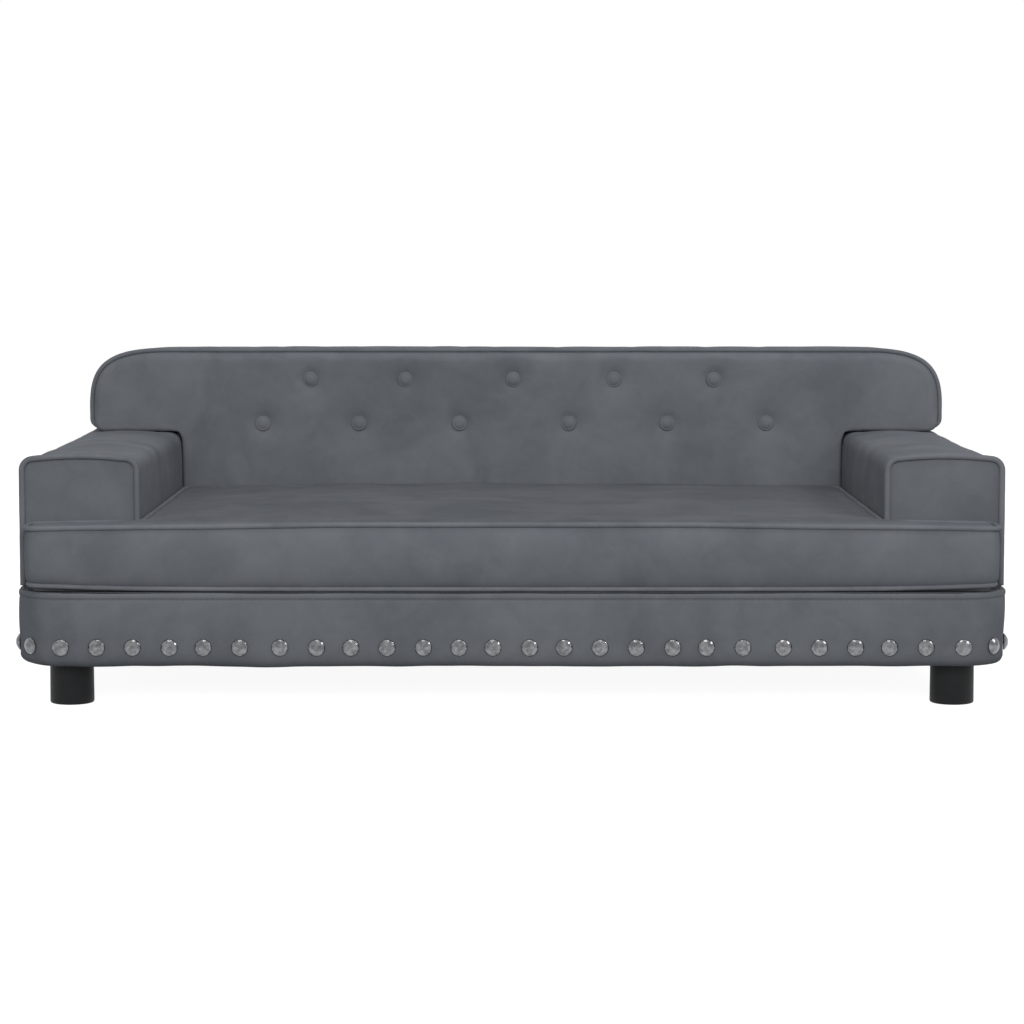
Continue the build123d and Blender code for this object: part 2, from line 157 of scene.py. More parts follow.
zinc_spangle = [(0.35, (0.50, 0.51, 0.53)), (0.65, (0.66, 0.67, 0.68))]
zinc = finish(
    "zinc", 0.34, zinc_spangle, mottle(220.0, 3.0), mottle(1500.0), (0.15, 0.0002), metallic=1.0
)
dress(zinc, "deck_bolts", "tee_nuts", "foot_studs", "foot_inserts")

# Velvet band round the base.
# One strip of short-pile velvet, hemmed at the top with a line of stitches under the fold,
# pulled down over the foam, rolled round the bottom edge and stapled to the rails.

velvet_shades = [
    (0.36, (0.107, 0.1155, 0.129)), (0.5, (0.122, 0.1305, 0.145)), (0.64, (0.135, 0.1435, 0.158)),
]
# The largest factor of painted light that make_velvet's height ramp can carry.
strongest_painted_shading = 1.2


def math_node(tree, operation, first, second):
    return add_node(tree, "Math", {0: first, 1: second}, operation=operation).outputs[0]


def mixed(tree, first, first_weight, second, second_weight):
    """Two patterns added, each with its weight."""
    first = math_node(tree, "MULTIPLY", first, first_weight)
    return math_node(tree, "ADD", first, math_node(tree, "MULTIPLY", second, second_weight))


def make_velvet(name, tone=1.0, weave=1.0, painted_shading=((0, 1), (1, 1))):
    """Short blue-grey pile: soft pile marks in patches, a fine tooth and a faint sheen.

    The (height, tone) pairs of the last argument are painted light and shade, lighter or darker by height on
    the piece.
    """
    material, tree, shader = new_material(name, 0.8)
    place = place_on_piece(tree, (weave, weave, weave))
    marks = speckle(tree, place, 13.0, 3.0, 0.5, 0.6)
    strokes = speckle(tree, place, 55.0, 3.0, 0.6, 0.9)
    clouds = mixed(tree, marks, 0.7, strokes, 0.3)
    toned = [(position, [value * tone for value in colour]) for position, colour in velvet_shades]
    colour = shades(tree, clouds, toned)
    # Painted light and shade: the colour is made lighter or darker by height on the piece, as the (height,
    # tone) pairs give.
    low, high = painted_shading[0][0], painted_shading[-1][0]
    level = add_node(tree, "SeparateXYZ", {0: place_on_piece(tree)}).outputs["Z"]
    span = {"Value": level, "From Min": low, "From Max": high}
    share = add_node(tree, "MapRange", span).outputs["Result"]
    tones = [((height - low) / (high - low), (amount / strongest_painted_shading,) * 3) for height, amount in painted_shading]
    painted_shading_tone = {0: shades(tree, share, tones), "Scale": strongest_painted_shading}
    painted_shading_tone = add_node(tree, "VectorMath", painted_shading_tone, operation="SCALE").outputs[0]
    colour = add_node(tree, "VectorMath", {0: colour, 1: painted_shading_tone}, operation="MULTIPLY").outputs[0]
    tree.links.new(colour, shader.inputs["Base Color"])
    span = {"Value": clouds, "From Min": 0.3, "From Max": 0.7, "To Min": 0.88, "To Max": 0.72}
    tree.links.new(add_node(tree, "MapRange", span).outputs["Result"], shader.inputs["Roughness"])
    shader.inputs["Specular IOR Level"].default_value = 0.08
    shader.inputs["Sheen Weight"].default_value = 0.02
    shader.inputs["Sheen Roughness"].default_value = 0.45
    shader.inputs["Sheen Tint"].default_value = (0.80, 0.86, 1.0, 1)
    pile = speckle(tree, place, 1700.0, 2.0, 0.7)
    dents = speckle(tree, place, 160.0, 3.0, 0.5)
    bump(tree, shader, mixed(tree, pile, 0.5, dents, 1.0), 0.12, 0.0012)
    return material


# Painted shade: the band's colour darkens towards its bottom edge, by the (height, tone) pairs.
base_velvet = make_velvet("base_velvet", painted_shading=((0.038, 0.76), (0.056, 0.95), (0.08, 0.98), (0.106, 0.96)))


def smooth_mesh(name, verts, faces, material):
    """A smooth-shaded mesh piece with one material and its faces turned outward."""
    mesh = bpy.data.meshes.new(name)
    mesh.from_pydata([tuple(v) for v in verts], [], faces)
    work = bmesh.new()
    work.from_mesh(mesh)
    bmesh.ops.recalc_face_normals(work, faces=work.faces)
    work.to_mesh(mesh)
    work.free()
    mesh.polygons.foreach_set("use_smooth", [True] * len(mesh.polygons))
    mesh.materials.append(material)
    piece = bpy.data.objects.new(name, mesh)
    bpy.context.scene.collection.objects.link(piece)
    return piece


def quads(lines, width, joined_lines=False, joined_ends=False):
    """Faces between lines of points, width points in each.

    joined_lines joins the last line to the first, and joined_ends each line's end to its start.
    """
    faces = []
    for i in range(lines if joined_lines else lines - 1):
        j = (i + 1) % lines
        for k in range(width if joined_ends else width - 1):
            m = (k + 1) % width
            faces.append((i * width + k, i * width + m, j * width + m, j * width + k))
    return faces


def seat_on(piece, body, slot, *nodes):
    """The piece rides with its body and stands for the CAD nodes named. slot is not used."""
    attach(piece, body)
    if nodes:
        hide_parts(*nodes)
    return piece


def arc(centre, radius, start, end, step):
    """Points of an arc in a plane, from one angle to another in degrees."""
    count = max(2, round(abs(math.radians(end - start)) * radius / step) + 1)
    angles = [math.radians(start + (end - start) * i / (count - 1)) for i in range(count)]
    return [Vector((centre[0] + radius * math.cos(a), centre[1] + radius * math.sin(a))) for a in angles]


def evenly(points, step):
    """A closed line through the points, cut again into equal steps."""
    ring = points + points[:1]
    lengths = [0.0]
    for a, b in zip(ring, ring[1:]):
        lengths.append(lengths[-1] + (b - a).length)
    count = round(lengths[-1] / step)
    result = []
    at = 0
    for i in range(count):
        target = lengths[-1] * i / count
        while lengths[at + 1] < target:
            at += 1
        share = (target - lengths[at]) / max(lengths[at + 1] - lengths[at], 1e-9)
        result.append(ring[at].lerp(ring[at + 1], share))
    return result


def outward(points):
    """The unit normal at each point of a closed line that runs anticlockwise."""
    count = len(points)
    normals = []
    for i in range(count):
        along = points[(i + 1) % count] - points[i - 1]
        normals.append(Vector((along.y, -along.x)).normalized())
    return normals


def point_tree(points):
    """A search tree over points of a plane."""
    tree = kdtree.KDTree(len(points))
    for index, point in enumerate(points):
        tree.insert((point.x, point.y, 0), index)
    tree.balance()
    return tree


def clamp(value, low=0, high=1):
    return min(max(value, low), high)


low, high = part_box("base_cover_front")
base_low, base_high = low.z, high.z
front_face, half_width = low.y, high.x
rear_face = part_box("base_cover_rear")[1].y
front_corner, rear_corner = 0.045, 0.016
bottom_roll, turn_under = 0.009, 0.024
cloth = 0.0012
column_step = 0.004


def base_outline():
    right, left = half_width - front_corner, front_corner - half_width
    front = front_face + front_corner
    rear = rear_face - rear_corner
    side = half_width - rear_corner
    fine = column_step / 4
    return (
        arc((right, front), front_corner, -90, 0, fine)
        + arc((side, rear), rear_corner, 0, 90, fine)
        + arc((-side, rear), rear_corner, 90, 180, fine)
        + arc((left, front), front_corner, 180, 270, fine)
    )


def loose_solids(*nodes):
    """The corner points of each loose solid in the CAD nodes."""
    solids = []
    for name in nodes:
        work = bmesh.new()
        work.from_mesh(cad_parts[name].data)
        bmesh.ops.remove_doubles(work, verts=work.verts, dist=1e-6)
        found = set()
        for start in work.verts:
            if start in found:
                continue
            found.add(start)
            island = [start]
            for vert in island:
                fresh = [edge.other_vert(vert) for edge in vert.link_edges]
                fresh = [other for other in fresh if other not in found]
                found.update(fresh)
                island.extend(fresh)
            solids.append([vert.co.copy() for vert in island])
        work.free()
    return solids


def nail_crowns():
    """The top of each nail's dome, and the way it faces, found from the tip of its shank."""
    head_reach = 0.011
    crowns = []
    for points in loose_solids("nails_front", "nails_left", "nails_right"):
        middle = sum(points, Vector()) / len(points)
        tips = [p for p in points if (p - middle).length > head_reach]
        tip = sum(tips, Vector()) / len(tips)
        facing = Vector((middle.x - tip.x, middle.y - tip.y, 0)).normalized()
        reach = max((p - tip).dot(facing) for p in points)
        crowns.append((tip + facing * reach, facing))
    return crowns


crowns = nail_crowns()
nail_tree = point_tree([crown for crown, facing in crowns])
low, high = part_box("nails_left")
nail_radius, nail_level = (high.z - low.z) / 2 * 1.04, (high.z + low.z) / 2
nail_rise = 0.0036
hem_depth, hem_fold = 0.0062, 0.0005
top_round, top_reach = 0.0022, 0.0024
stitch_pull, stitch_reach = 0.0005, 0.0009
belly = 0.0009
dent_width, dent_depth = 0.0115, 0.0021
deepest_dent = 0.0021
band_rows = [0.0004, 0.0016, 0.003, 0.0044, 0.0052, 0.0058, 0.0064, 0.007, 0.008, 0.010]
band_rows += [0.0135 + 0.0035 * i for i in range(13)]


def relief(place, scale, height, seed):
    """A gentle unevenness of cloth: height times noise whose waves are about scale long."""
    return height * noise.noise(Vector(place) / scale + Vector((seed, 0, 0)))


def band_swell(place, level):
    """How far the band stands out from the flat: hem, belly, dents at the nails, unevenness."""
    drop = base_high - level
    swell = hem_fold if drop < hem_depth - 0.0008 else 0.0
    swell -= top_round * max(1 - drop / top_reach, 0) ** 2
    swell -= stitch_pull * math.exp(-((drop - hem_depth) / stitch_reach) ** 2)
    share = clamp((drop - hem_depth) / (base_high - nail_level - hem_depth))
    swell += belly * math.sin(math.pi * share)
    along = nail_tree.find((place.x, place.y, 0))[2]
    above = level - nail_level
    above *= 0.45 if above > 0 else 0.9
    swell -= dent_depth * math.exp(-(along ** 2 + above ** 2) / dent_width ** 2)
    point = (place.x, place.y, level)
    return max(swell + relief(point, 0.07, 0.0008, 3) + relief(point, 0.022, 0.0003, 9), -deepest_dent)


def velvet_band():
    """The band as a sheet that goes down the face, round the roll and in under the rails."""
    outline = evenly(base_outline(), column_step)
    roll_steps = 7
    verts = []
    for place, out in zip(outline, outward(outline)):
        def at(outset, level):
            verts.append((place.x + out.x * outset, place.y + out.y * outset, level))
        ground = (place.x, place.y, 0)
        wave = relief(ground, 0.09, 0.0016, 21) + relief(ground, 0.03, 0.0006, 5)
        at(-0.004, base_high + 0.0001)
        at(-0.0028, base_high + 0.0001)
        for drop in band_rows:
            at(band_swell(place, base_high - drop), base_high - drop)
        low_swell = band_swell(place, base_low + bottom_roll)
        for step in range(1, roll_steps + 1):
            turn = math.pi / 2 * step / roll_steps
            outset = -bottom_roll + (bottom_roll + low_swell) * math.cos(turn)
            at(outset, base_low + bottom_roll * (1 - math.sin(turn)) + wave * math.sin(turn))
        at(-turn_under * 0.7, base_low + wave * 0.4)
        at(-turn_under, base_low)
        at(-turn_under, base_low + cloth)
    rows = len(verts) // len(outline)
    return smooth_mesh("base_band", verts, quads(len(outline), rows, joined_lines=True), base_velvet)


base_sides = ("front", "left", "right", "rear")
seat_on(velvet_band(), "frame", "velvet", *["base_cover_" + side for side in base_sides])

# Foam under the covers.
# Sheets of pale open-cell foam glued to the timber, and a foam core in the loose cushion. The
# strip round the base lies between the band and the rails.


def cells(tree, place):
    return add_node(tree, "TexVoronoi", {"Vector": place, "Scale": 650.0}).outputs["Distance"]


foam_shades = [(0.1, (0.60, 0.52, 0.34)), (0.6, (0.80, 0.74, 0.56))]
foam = finish("foam", 0.95, foam_shades, cells, depth=(0.5, 0.0005))
foam_depth = 0.0016


def base_foam():
    """A closed strip: its outer face follows the band, its inner face the rails."""
    low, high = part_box("base_padding_front")
    inner_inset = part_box("front_rail")[0].y - front_face
    outline = evenly(base_outline(), 0.012)
    verts = []
    for place, out in zip(outline, outward(outline)):
        swell = band_swell(place, nail_level) - foam_depth
        section = [
            (-0.003, high.z), (swell, high.z - 0.004), (swell, nail_level),
            (swell - 0.001, low.z + bottom_roll), (-bottom_roll * 0.6, low.z + 0.002),
            (-inner_inset, low.z + 0.0002), (-inner_inset, high.z),
        ]
        verts += [(place.x + out.x * outset, place.y + out.y * outset, level) for outset, level in section]
    return smooth_mesh("base_foam", verts, quads(len(outline), len(section), True, True), foam)


def foam_inside(name, cover, body, *nodes):
    """The foam that fills a cover: the cover's own shape, a cloth's thickness further in."""
    mesh = cover.data.copy()
    mesh.name = name
    for vertex, skin in zip(mesh.vertices, cover.data.vertices):
        vertex.co = skin.co - skin.normal * foam_depth
    mesh.materials.clear()
    mesh.materials.append(foam)
    piece = bpy.data.objects.new(name, mesh)
    bpy.context.scene.collection.objects.link(piece)
    return seat_on(piece, body, "foam", *nodes)


strip = base_foam()
seat_on(strip, "frame", "foam", *["base_padding_" + side for side in base_sides])

# Stitches along the hem.
# Thick thread of the velvet's colour, run through the fold of the hem by machine, each stitch
# sunk a little into the pile at its two ends.

stitch_pitch, stitch_length, thread_radius = 0.0052, 0.0036, 0.00038
up = Vector((0, 0, 1))


def tube(path, radius, sides, lift_axis, closed=False, swell=None):
    """A round tube along a path. Its rings stand square to the path, measured from lift_axis."""
    count = len(path)
    verts = []
    for i, point in enumerate(path):
        before = path[i - 1] if i or closed else point
        after = path[(i + 1) % count] if i + 1 < count or closed else point
        along = (after - before).normalized()
        side = along.cross(lift_axis).normalized()
        lift = side.cross(along)
        size = radius * (swell(point) if swell else 1.0)
        for k in range(sides):
            turn = math.tau * k / sides
            verts.append(point + side * (size * math.cos(turn)) + lift * (size * math.sin(turn)))
    faces = quads(count, sides, closed, True)
    if not closed:
        faces.append(tuple(range(sides)))
        faces.append(tuple(range((count - 1) * sides, count * sides)))
    return verts, faces


def joined(parts):
    """One list of points and faces from several."""
    verts, faces = [], []
    for more_verts, more_faces in parts:
        start = len(verts)
        verts.extend(more_verts)
        faces.extend(tuple(start + i for i in face) for face in more_faces)
    return verts, faces


def twist(scale, distortion=0.0):
    """The slanting plies of a thread as a pattern for a finish."""
    def plies(tree, place):
        inputs = {"Vector": place, "Scale": scale, "Distortion": distortion}
        return add_node(tree, "TexWave", inputs, bands_direction="DIAGONAL").outputs["Fac"]
    return plies


thread_shades = [(0.2, (0.075, 0.081, 0.09)), (0.8, (0.12, 0.128, 0.14))]
thread = finish("thread", 0.6, thread_shades, twist(700.0), depth=(0.4, 0.0002))


def hem_stitches():
    level = base_high - hem_depth
    outline = evenly(base_outline(), stitch_pitch)
    shape = [(-0.5, -0.0003), (-0.3, 0.0002), (0.3, 0.0002), (0.5, -0.0003)]
    parts = []
    for place, out in zip(outline, outward(outline)):
        along = Vector((-out.y, out.x, 0))
        out = Vector((out.x, out.y, 0))
        base = Vector((place.x, place.y, level)) + out * band_swell(place, level)
        path = [base + along * (share * stitch_length) + out * lift for share, lift in shape]
        parts.append(tube(path, thread_radius, 6, up))
    return smooth_mesh("hem_stitches", *joined(parts), thread)


seat_on(hem_stitches(), "frame", "velvet")

# Decorative nails.
# Domed steel heads plated in dark nickel, hammered through the velvet into the rails about
# 32 mm apart, along the front, round both front corners and back along the sides.

nickel_shades = [(0.35, (0.13, 0.133, 0.14)), (0.65, (0.24, 0.245, 0.255))]
nickel = finish(
    "dark_nickel", 0.14, nickel_shades, mottle(260.0), mottle(420.0), (0.5, 0.0007), metallic=1.0
)


def turned(profile, place, axis, sides, wobble=None):
    """A shape spun round an axis. The profile is (radius, height) pairs from the middle out."""
    axis = axis.normalized()
    side = axis.orthogonal().normalized()
    other = axis.cross(side)
    verts = [place + axis * profile[0][1]]
    for radius, height in profile[1:]:
        for k in range(sides):
            turn = math.tau * k / sides
            size = radius * (wobble(turn, height) if wobble else 1.0)
            verts.append(place + axis * height + (side * math.cos(turn) + other * math.sin(turn)) * size)
    faces = [(0, 1 + k, 1 + (k + 1) % sides) for k in range(sides)]
    rings = quads(len(profile) - 1, sides, joined_ends=True)
    faces += [tuple(1 + i for i in face) for face in rings]
    faces.append(tuple(len(verts) - sides + k for k in range(sides)))
    return verts, faces


def nail_profile():
    """The dome from its crown to a rounded rim, and the flat shoulder under it."""
    ball = (nail_radius ** 2 + nail_rise ** 2) / (2 * nail_rise)
    reach = math.asin(nail_radius / ball)
    dome = [(ball * math.sin(reach * i / 9), ball * (math.cos(reach * i / 9) - 1)) for i in range(9)]
    rim = [(0.985, -0.93), (1.0, -1.05), (0.985, -1.2), (0.9, -1.25)]
    return dome + [(nail_radius * width, nail_rise * height) for width, height in rim]


side_start = front_face + front_corner
nail_rows = {
    "front": lambda crown: crown.y < side_start,
    "left": lambda crown: crown.y >= side_start and crown.x < 0,
    "right": lambda crown: crown.y >= side_start and crown.x > 0,
}
for row, keep in nail_rows.items():
    heads = joined([turned(nail_profile(), crown, facing, 28) for crown, facing in crowns if keep(crown)])
    seat_on(smooth_mesh("nail_heads_" + row, *heads, nickel), "frame", "nail", "nails_" + row)

# Feet.
# Four straight black cylinders moulded in plastic, satin outside, with a small chamfer at the
# floor and a shallow ring moulded into the sole. Each turns on its stud.


def make_foot_plastic():
    material, tree, shader = new_material("foot_plastic", 0.55)
    shader.inputs["Specular IOR Level"].default_value = 0.18
    place = place_on_piece(tree)
    scuffs = speckle(tree, place, 60.0, 4.0, 0.6)
    colour = shades(tree, scuffs, [(0.35, (0.009, 0.0095, 0.0105)), (0.7, (0.014, 0.0147, 0.016))])
    tree.links.new(colour, shader.inputs["Base Color"])
    rough = add_node(tree, "MapRange", {"Value": scuffs, "To Min": 0.42, "To Max": 0.62})
    tree.links.new(rough.outputs["Result"], shader.inputs["Roughness"])
    bump(tree, shader, speckle(tree, place, 900.0, 2.0), 0.15, 0.0003)
    return material


foot_plastic = make_foot_plastic()
chamfer = 0.0016
sole_hollow, sole_ring = 0.0012, 0.0002
sole = [
    (0, sole_hollow), (0.006, sole_hollow), (0.0066, sole_ring), (0.0136, sole_ring),
    (0.0142, sole_hollow), (0.0158, sole_hollow), (0.0164, 0.0),
]


def foot(name, node):
    low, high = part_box(node)
    place = Vector(((low.x + high.x) / 2, (low.y + high.y) / 2, 0))
    radius, height = (high.x - low.x) / 2, high.z
    wall = [(radius - chamfer, 0.0), (radius - 0.0006, 0.0004), (radius, chamfer)]
    wall += [(radius - 0.0002 * i / 6, chamfer + (height - chamfer) * i / 6) for i in range(1, 7)]
    return smooth_mesh(name, *turned(sole + wall, place, up, 72), foot_plastic)


def sharp_edges(piece, degrees):
    piece.modifiers.new("edges", "EDGE_SPLIT").split_angle = math.radians(degrees)


for corner in corners:
    piece = foot("moulded_foot_" + corner, "foot_" + corner)
    sharp_edges(piece, 50)
    seat_on(piece, "frame", "foot", "foot_" + corner)

# Lining on the deck and dust cover under the rails.
# A plain woven lining is glued over the deck board, and black spunbond cloth closes the
# underside, its edges turned in and stapled through the velvet into the rails.


def make_cloth(name, dark, light, threads):
    """A plain weave of threads along X and Y, a little worn."""
    def weave(tree, place):
        inputs = {"Vector": place, "Scale": threads}
        waves = [add_node(tree, "TexWave", inputs, bands_direction=axis).outputs["Fac"] for axis in "XY"]
        return math_node(tree, "MULTIPLY", *waves)

    def worn(tree, place):
        return mixed(tree, weave(tree, place), 0.4, speckle(tree, place, 25.0, 4.0), 0.6)
    return finish(name, 0.9, [(0.2, dark), (0.7, light)], worn, weave, (0.5, 0.0004))


def filled(outline, step, rims=()):
    """Points and triangles that fill a closed outline: rims along its edge, then a staggered grid."""
    ring = np.array([(p.x, p.y) for p in outline])
    low, high = ring.min(0), ring.max(0)
    rows = np.arange(low[1] + step / 2, high[1], step * 0.866)
    columns = np.arange(low[0], high[0], step)
    grid_x, grid_y = np.meshgrid(columns, rows)
    grid_x[1::2] += step / 2
    x, y = grid_x.ravel(), grid_y.ravel()
    inside = np.zeros(len(x), bool)
    for (ax, ay), (bx, by) in zip(ring, np.roll(ring, -1, 0)):
        if ay != by:
            inside ^= ((ay > y) != (by > y)) & (x < (bx - ax) * (y - ay) / (by - ay) + ax)
    tree = point_tree(outline)
    inner = []
    normals = outward(outline)
    for rim in rims:
        for p, out in zip(outline, normals):
            place = p - out * rim
            if tree.find((place.x, place.y, 0))[2] > rim * 0.96:
                inner.append(place)
    margin = (rims[-1] if rims else 0) + step * 0.6
    for a, b, keep in zip(x, y, inside):
        if keep and tree.find((a, b, 0))[2] > margin:
            inner.append(Vector((a, b)))
    points = list(outline) + inner
    count = len(outline)
    edges = [(i, (i + 1) % count) for i in range(count)]
    _, _, faces, origins, _, _ = geometry.delaunay_2d_cdt(points, edges, [], 1, 1e-7)
    names = [origin[0] for origin in origins]
    return points, [tuple(names[i] for i in face) for face in faces]


def stretched_sheet(name, node, inset, wave, material):
    """A thin cloth over the base's plan in the space of its CAD solid, held at its edges.

    wave is the length, the height and the seed of its unevenness.
    """
    step = 0.012
    low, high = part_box(node)
    outline = evenly([p * ((half_width - inset) / half_width) for p in base_outline()], step)
    points, faces = filled(outline, step)
    top = [(p.x, p.y, high.z + relief((p.x, p.y, 0), *wave)) for p in points]
    under = [(x, y, low.z + (z - high.z)) for x, y, z in top]
    count, ring = len(points), len(outline)
    rim = [(i, (i + 1) % ring, count + (i + 1) % ring, count + i) for i in range(ring)]
    solid = faces + [tuple(count + i for i in face[::-1]) for face in faces] + rim
    piece = smooth_mesh(name, top + under, solid, material)
    return seat_on(piece, "frame", node, node)


lining = make_cloth("deck_lining", (0.016, 0.017, 0.019), (0.03, 0.032, 0.035), 500.0)
spunbond = make_cloth("dust_cloth", (0.010, 0.010, 0.011), (0.020, 0.020, 0.022), 420.0)
stretched_sheet("deck_lining", "deck_cloth", cloth, (0.1, 0.0002, 2), lining)
stretched_sheet("dust_cloth", "dust_cover", turn_under, (0.12, 0.0008, 7), spunbond)

# Arms.
# Two plywood cases in foam. One velvet cover goes over the top and down both sides, a front
# panel is sewn to it all round with a welt between, and the cover is stapled under the arm.


def offset(points, inset):
    """A closed line moved inward by a small inset."""
    return [p - n * inset for p, n in zip(points, outward(points))]


def two_arc_corner(width, height, radius, step):
    """Points of a corner wider than it is high, from its side to its top, on two tangent arcs."""
    fall = ((width - radius) ** 2 - (height - radius) ** 2) / (2 * (height - radius))
    share = math.degrees(math.atan2(fall, width - radius))
    small = arc((width - radius, 0), radius, 0, share, step)
    return small + arc((0, -fall), height + fall, share, 90, step)[1:]


def row_places(length, step):
    """Distances from one seam to the other: close together beside the seams."""
    edge = [0.0014, 0.003, 0.005, 0.008]
    count = round((length - 2 * edge[-1]) / step)
    middle = [edge[-1] + (length - 2 * edge[-1]) * i / count for i in range(1, count)]
    return edge + middle + [length - d for d in edge[::-1]]


seam_crease = 0.7
rest_gap = 0.0002
seam_calm = 0.02


def sewn_form(name, near, far, rows, step, axes, near_height, far_height, side_swell, rims, material):
    """A boxed form: a filled panel at each of two rings of points and a band between them.

    The rings have as many points each, and rows gives the band's lines between them. axes names
    the two axes that a panel lies along, a height gives the third for a point of a panel, and
    side_swell moves a point of the band outward, by how far it lies from the nearer seam.
    """
    a, b = axes
    c = 3 - a - b
    count = len(near)
    out = outward([Vector((p[a], p[b])) for p in near])
    verts = list(near) + list(far)
    length = rows[0] + rows[-1]
    for row in rows:
        for i in range(count):
            point = near[i].lerp(far[i], row / length)
            swell = side_swell(point, min(row, length - row), row / length)
            point[a] += out[i].x * swell
            point[b] += out[i].y * swell
            verts.append(point)
    ring_at = [0] + [2 * count + r * count for r in range(len(rows))] + [count]
    faces = []
    for low, high in zip(ring_at, ring_at[1:]):
        for i in range(count):
            j = (i + 1) % count
            faces.append((low + i, low + j, high + j, high + i))
    for ring, start, height in ((near, 0, near_height), (far, count, far_height)):
        points, triangles = filled([Vector((p[a], p[b])) for p in ring], step, rims)
        base = len(verts) - count
        for point in points[count:]:
            place = [0, 0, 0]
            place[a], place[b], place[c] = point.x, point.y, height(point)
            verts.append(Vector(place))
        faces.extend(tuple(start + i if i < count else base + i for i in face) for face in triangles)
    piece = smooth_mesh(name, verts, faces, material)
    sewn = piece.vertex_groups.new(name="sewn")
    sewn.add(list(range(2 * count)), 1.0, "REPLACE")
    crease = piece.data.attributes.new("crease_edge", "FLOAT", "EDGE")
    on_seam = [e.vertices[0] < 2 * count and e.vertices[1] < 2 * count for e in piece.data.edges]
    crease.data.foreach_set("value", [seam_crease if seam else 0.0 for seam in on_seam])
    return piece


edge_rims = (0.0014, 0.0032, 0.006, 0.010)
seam_inset = 0.0022


def rise(distance, reach):
    """From 0 at a seam to 1 beyond its reach, rounded like stuffed cloth."""
    return math.sqrt(1 - (1 - clamp(distance / reach)) ** 2)


def edge_distance(ring):
    """How far a point of a panel lies from its ring."""
    tree = point_tree(evenly(ring, 0.001))
    return lambda point: tree.find((point.x, point.y, 0))[2]


fill_frames, fill_pressure, fabric_slack = 20, 4.0, 0.004


def inflate(piece, most, pinned=()):
    """Fill the cover: cloth that is sewn at its seams swells under pressure from inside.

    The move is scaled so that no point goes further than most.
    """
    group = piece.vertex_groups["sewn"]
    if pinned:
        group.add(list(pinned), 1.0, "REPLACE")
    cloth_modifier = piece.modifiers.new("Cloth", "CLOTH")
    settings = cloth_modifier.settings
    settings.quality = 3
    settings.use_pressure = True
    settings.uniform_pressure_force = fill_pressure
    settings.tension_stiffness = 40
    settings.compression_stiffness = 12
    settings.shear_stiffness = 12
    settings.bending_stiffness = 1.0
    settings.shrink_min = -fabric_slack
    settings.effector_weights.gravity = 0
    settings.vertex_group_mass = "sewn"
    cloth_modifier.point_cache.frame_end = fill_frames
    scene = bpy.context.scene
    for number in range(1, fill_frames + 1):
        scene.frame_set(number)
    shaped = piece.evaluated_get(bpy.context.evaluated_depsgraph_get())
    mesh = shaped.to_mesh()
    moves = [v.co - w.co for v, w in zip(mesh.vertices, piece.data.vertices)]
    shaped.to_mesh_clear()
    piece.modifiers.remove(cloth_modifier)
    scene.frame_set(1)
    longest = sorted(move.length for move in moves)[int(len(moves) * 0.995)]
    scale = most / max(longest, 1e-6)
    print(piece.name, len(moves), "points, longest move", round(longest * 1000, 2), "mm")
    for vertex, move in zip(piece.data.vertices, moves):
        vertex.co += move * min(scale, most / max(move.length, 1e-6))


def reshape(piece, change):
    """Move each point to where the change puts it."""
    for vertex in piece.data.vertices:
        vertex.co = change(vertex.co.copy())
    piece.data.update()


def soften(piece):
    """Round the mesh by one subdivision."""
    rounding = piece.modifiers.new("rounding", "SUBSURF")
    rounding.levels = rounding.render_levels = 1


welt_radius, welt_inset = 0.0024, 0.0001
arm_welt_radius = 0.0028
welt_velvet = make_velvet("welt_velvet", 1.08, 1.3)


def welt(name, ring, lift_axis, closed=True, radius=welt_radius):
    """Cord in a bias strip of velvet, sewn into a seam: a round, slightly uneven roll."""
    def fullness(point):
        return 1.0 + relief(point, 0.015, 0.05, 4) + relief(point, 0.004, 0.03, 8)
    return smooth_mesh(name, *tube(ring, radius, 12, lift_axis, closed, fullness), welt_velvet)


def standing_welt(name, outline, start_at, depth, mirror=1, radius=welt_radius):
    """A welt round a front, given in X and Z, that starts and ends on the deck."""
    above = [p for p in outline if p.y > start_at.y + 0.001]
    start = min(range(len(above)), key=lambda i: (above[i] - start_at).length)
    points = [Vector((mirror * p.x, depth, p.y)) for p in above[start:] + above[:start]]
    ends = [Vector((p.x, p.y, start_at.y + rest_gap)) for p in (points[0], points[-1])]
    return welt(name, ends[:1] + points + ends[1:], Vector((0, -1, 0)), closed=False, radius=radius)


low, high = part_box("right_arm_cover")
arm_low_x, arm_high_x = low.x, high.x - 0.0013
arm_bottom, arm_top, arm_rear = low.z, high.z, high.y
arm_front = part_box("right_arm_front_panel")[0].y
low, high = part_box("right_arm_piping")
arm_seam = (low.y + high.y) / 2
shoulder_radius, arm_crown = 0.0105, 0.0025
back_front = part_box("back_front_cover")[0].y
pressed_top = arm_top - 0.002
rear_inset = 0.0004
panel_lift, panel_crown = 0.0014, 0.0016
inner_bulge, outer_bulge, arm_rise = 0.0008, 0.0010, 0.0012
press_start, press_reach = 0.022, 0.02
# Painted highlight: the arm's velvet is made 5% lighter along its top.
arm_painted_shading = ((0.10, 1), (arm_top - 0.012, 1), (arm_top - 0.002, 1.05), (arm_top + 0.002, 1.05))
arm_velvet = make_velvet("arm_velvet", painted_shading=arm_painted_shading)


def arm_outline(step):
    half = (arm_high_x - arm_low_x) / 2
    middle = (arm_high_x + arm_low_x) / 2
    shoulder = arm_top - arm_crown - shoulder_radius
    corner = two_arc_corner(half, shoulder_radius + arm_crown, shoulder_radius, step / 4)
    right = [Vector((middle + p.x, shoulder + p.y)) for p in corner]
    left = [Vector((middle - p.x, shoulder + p.y)) for p in corner[::-1]]
    floor = [Vector((middle - half, arm_bottom)), Vector((middle + half, arm_bottom))]
    return floor[1:] + right + left + floor[:1]


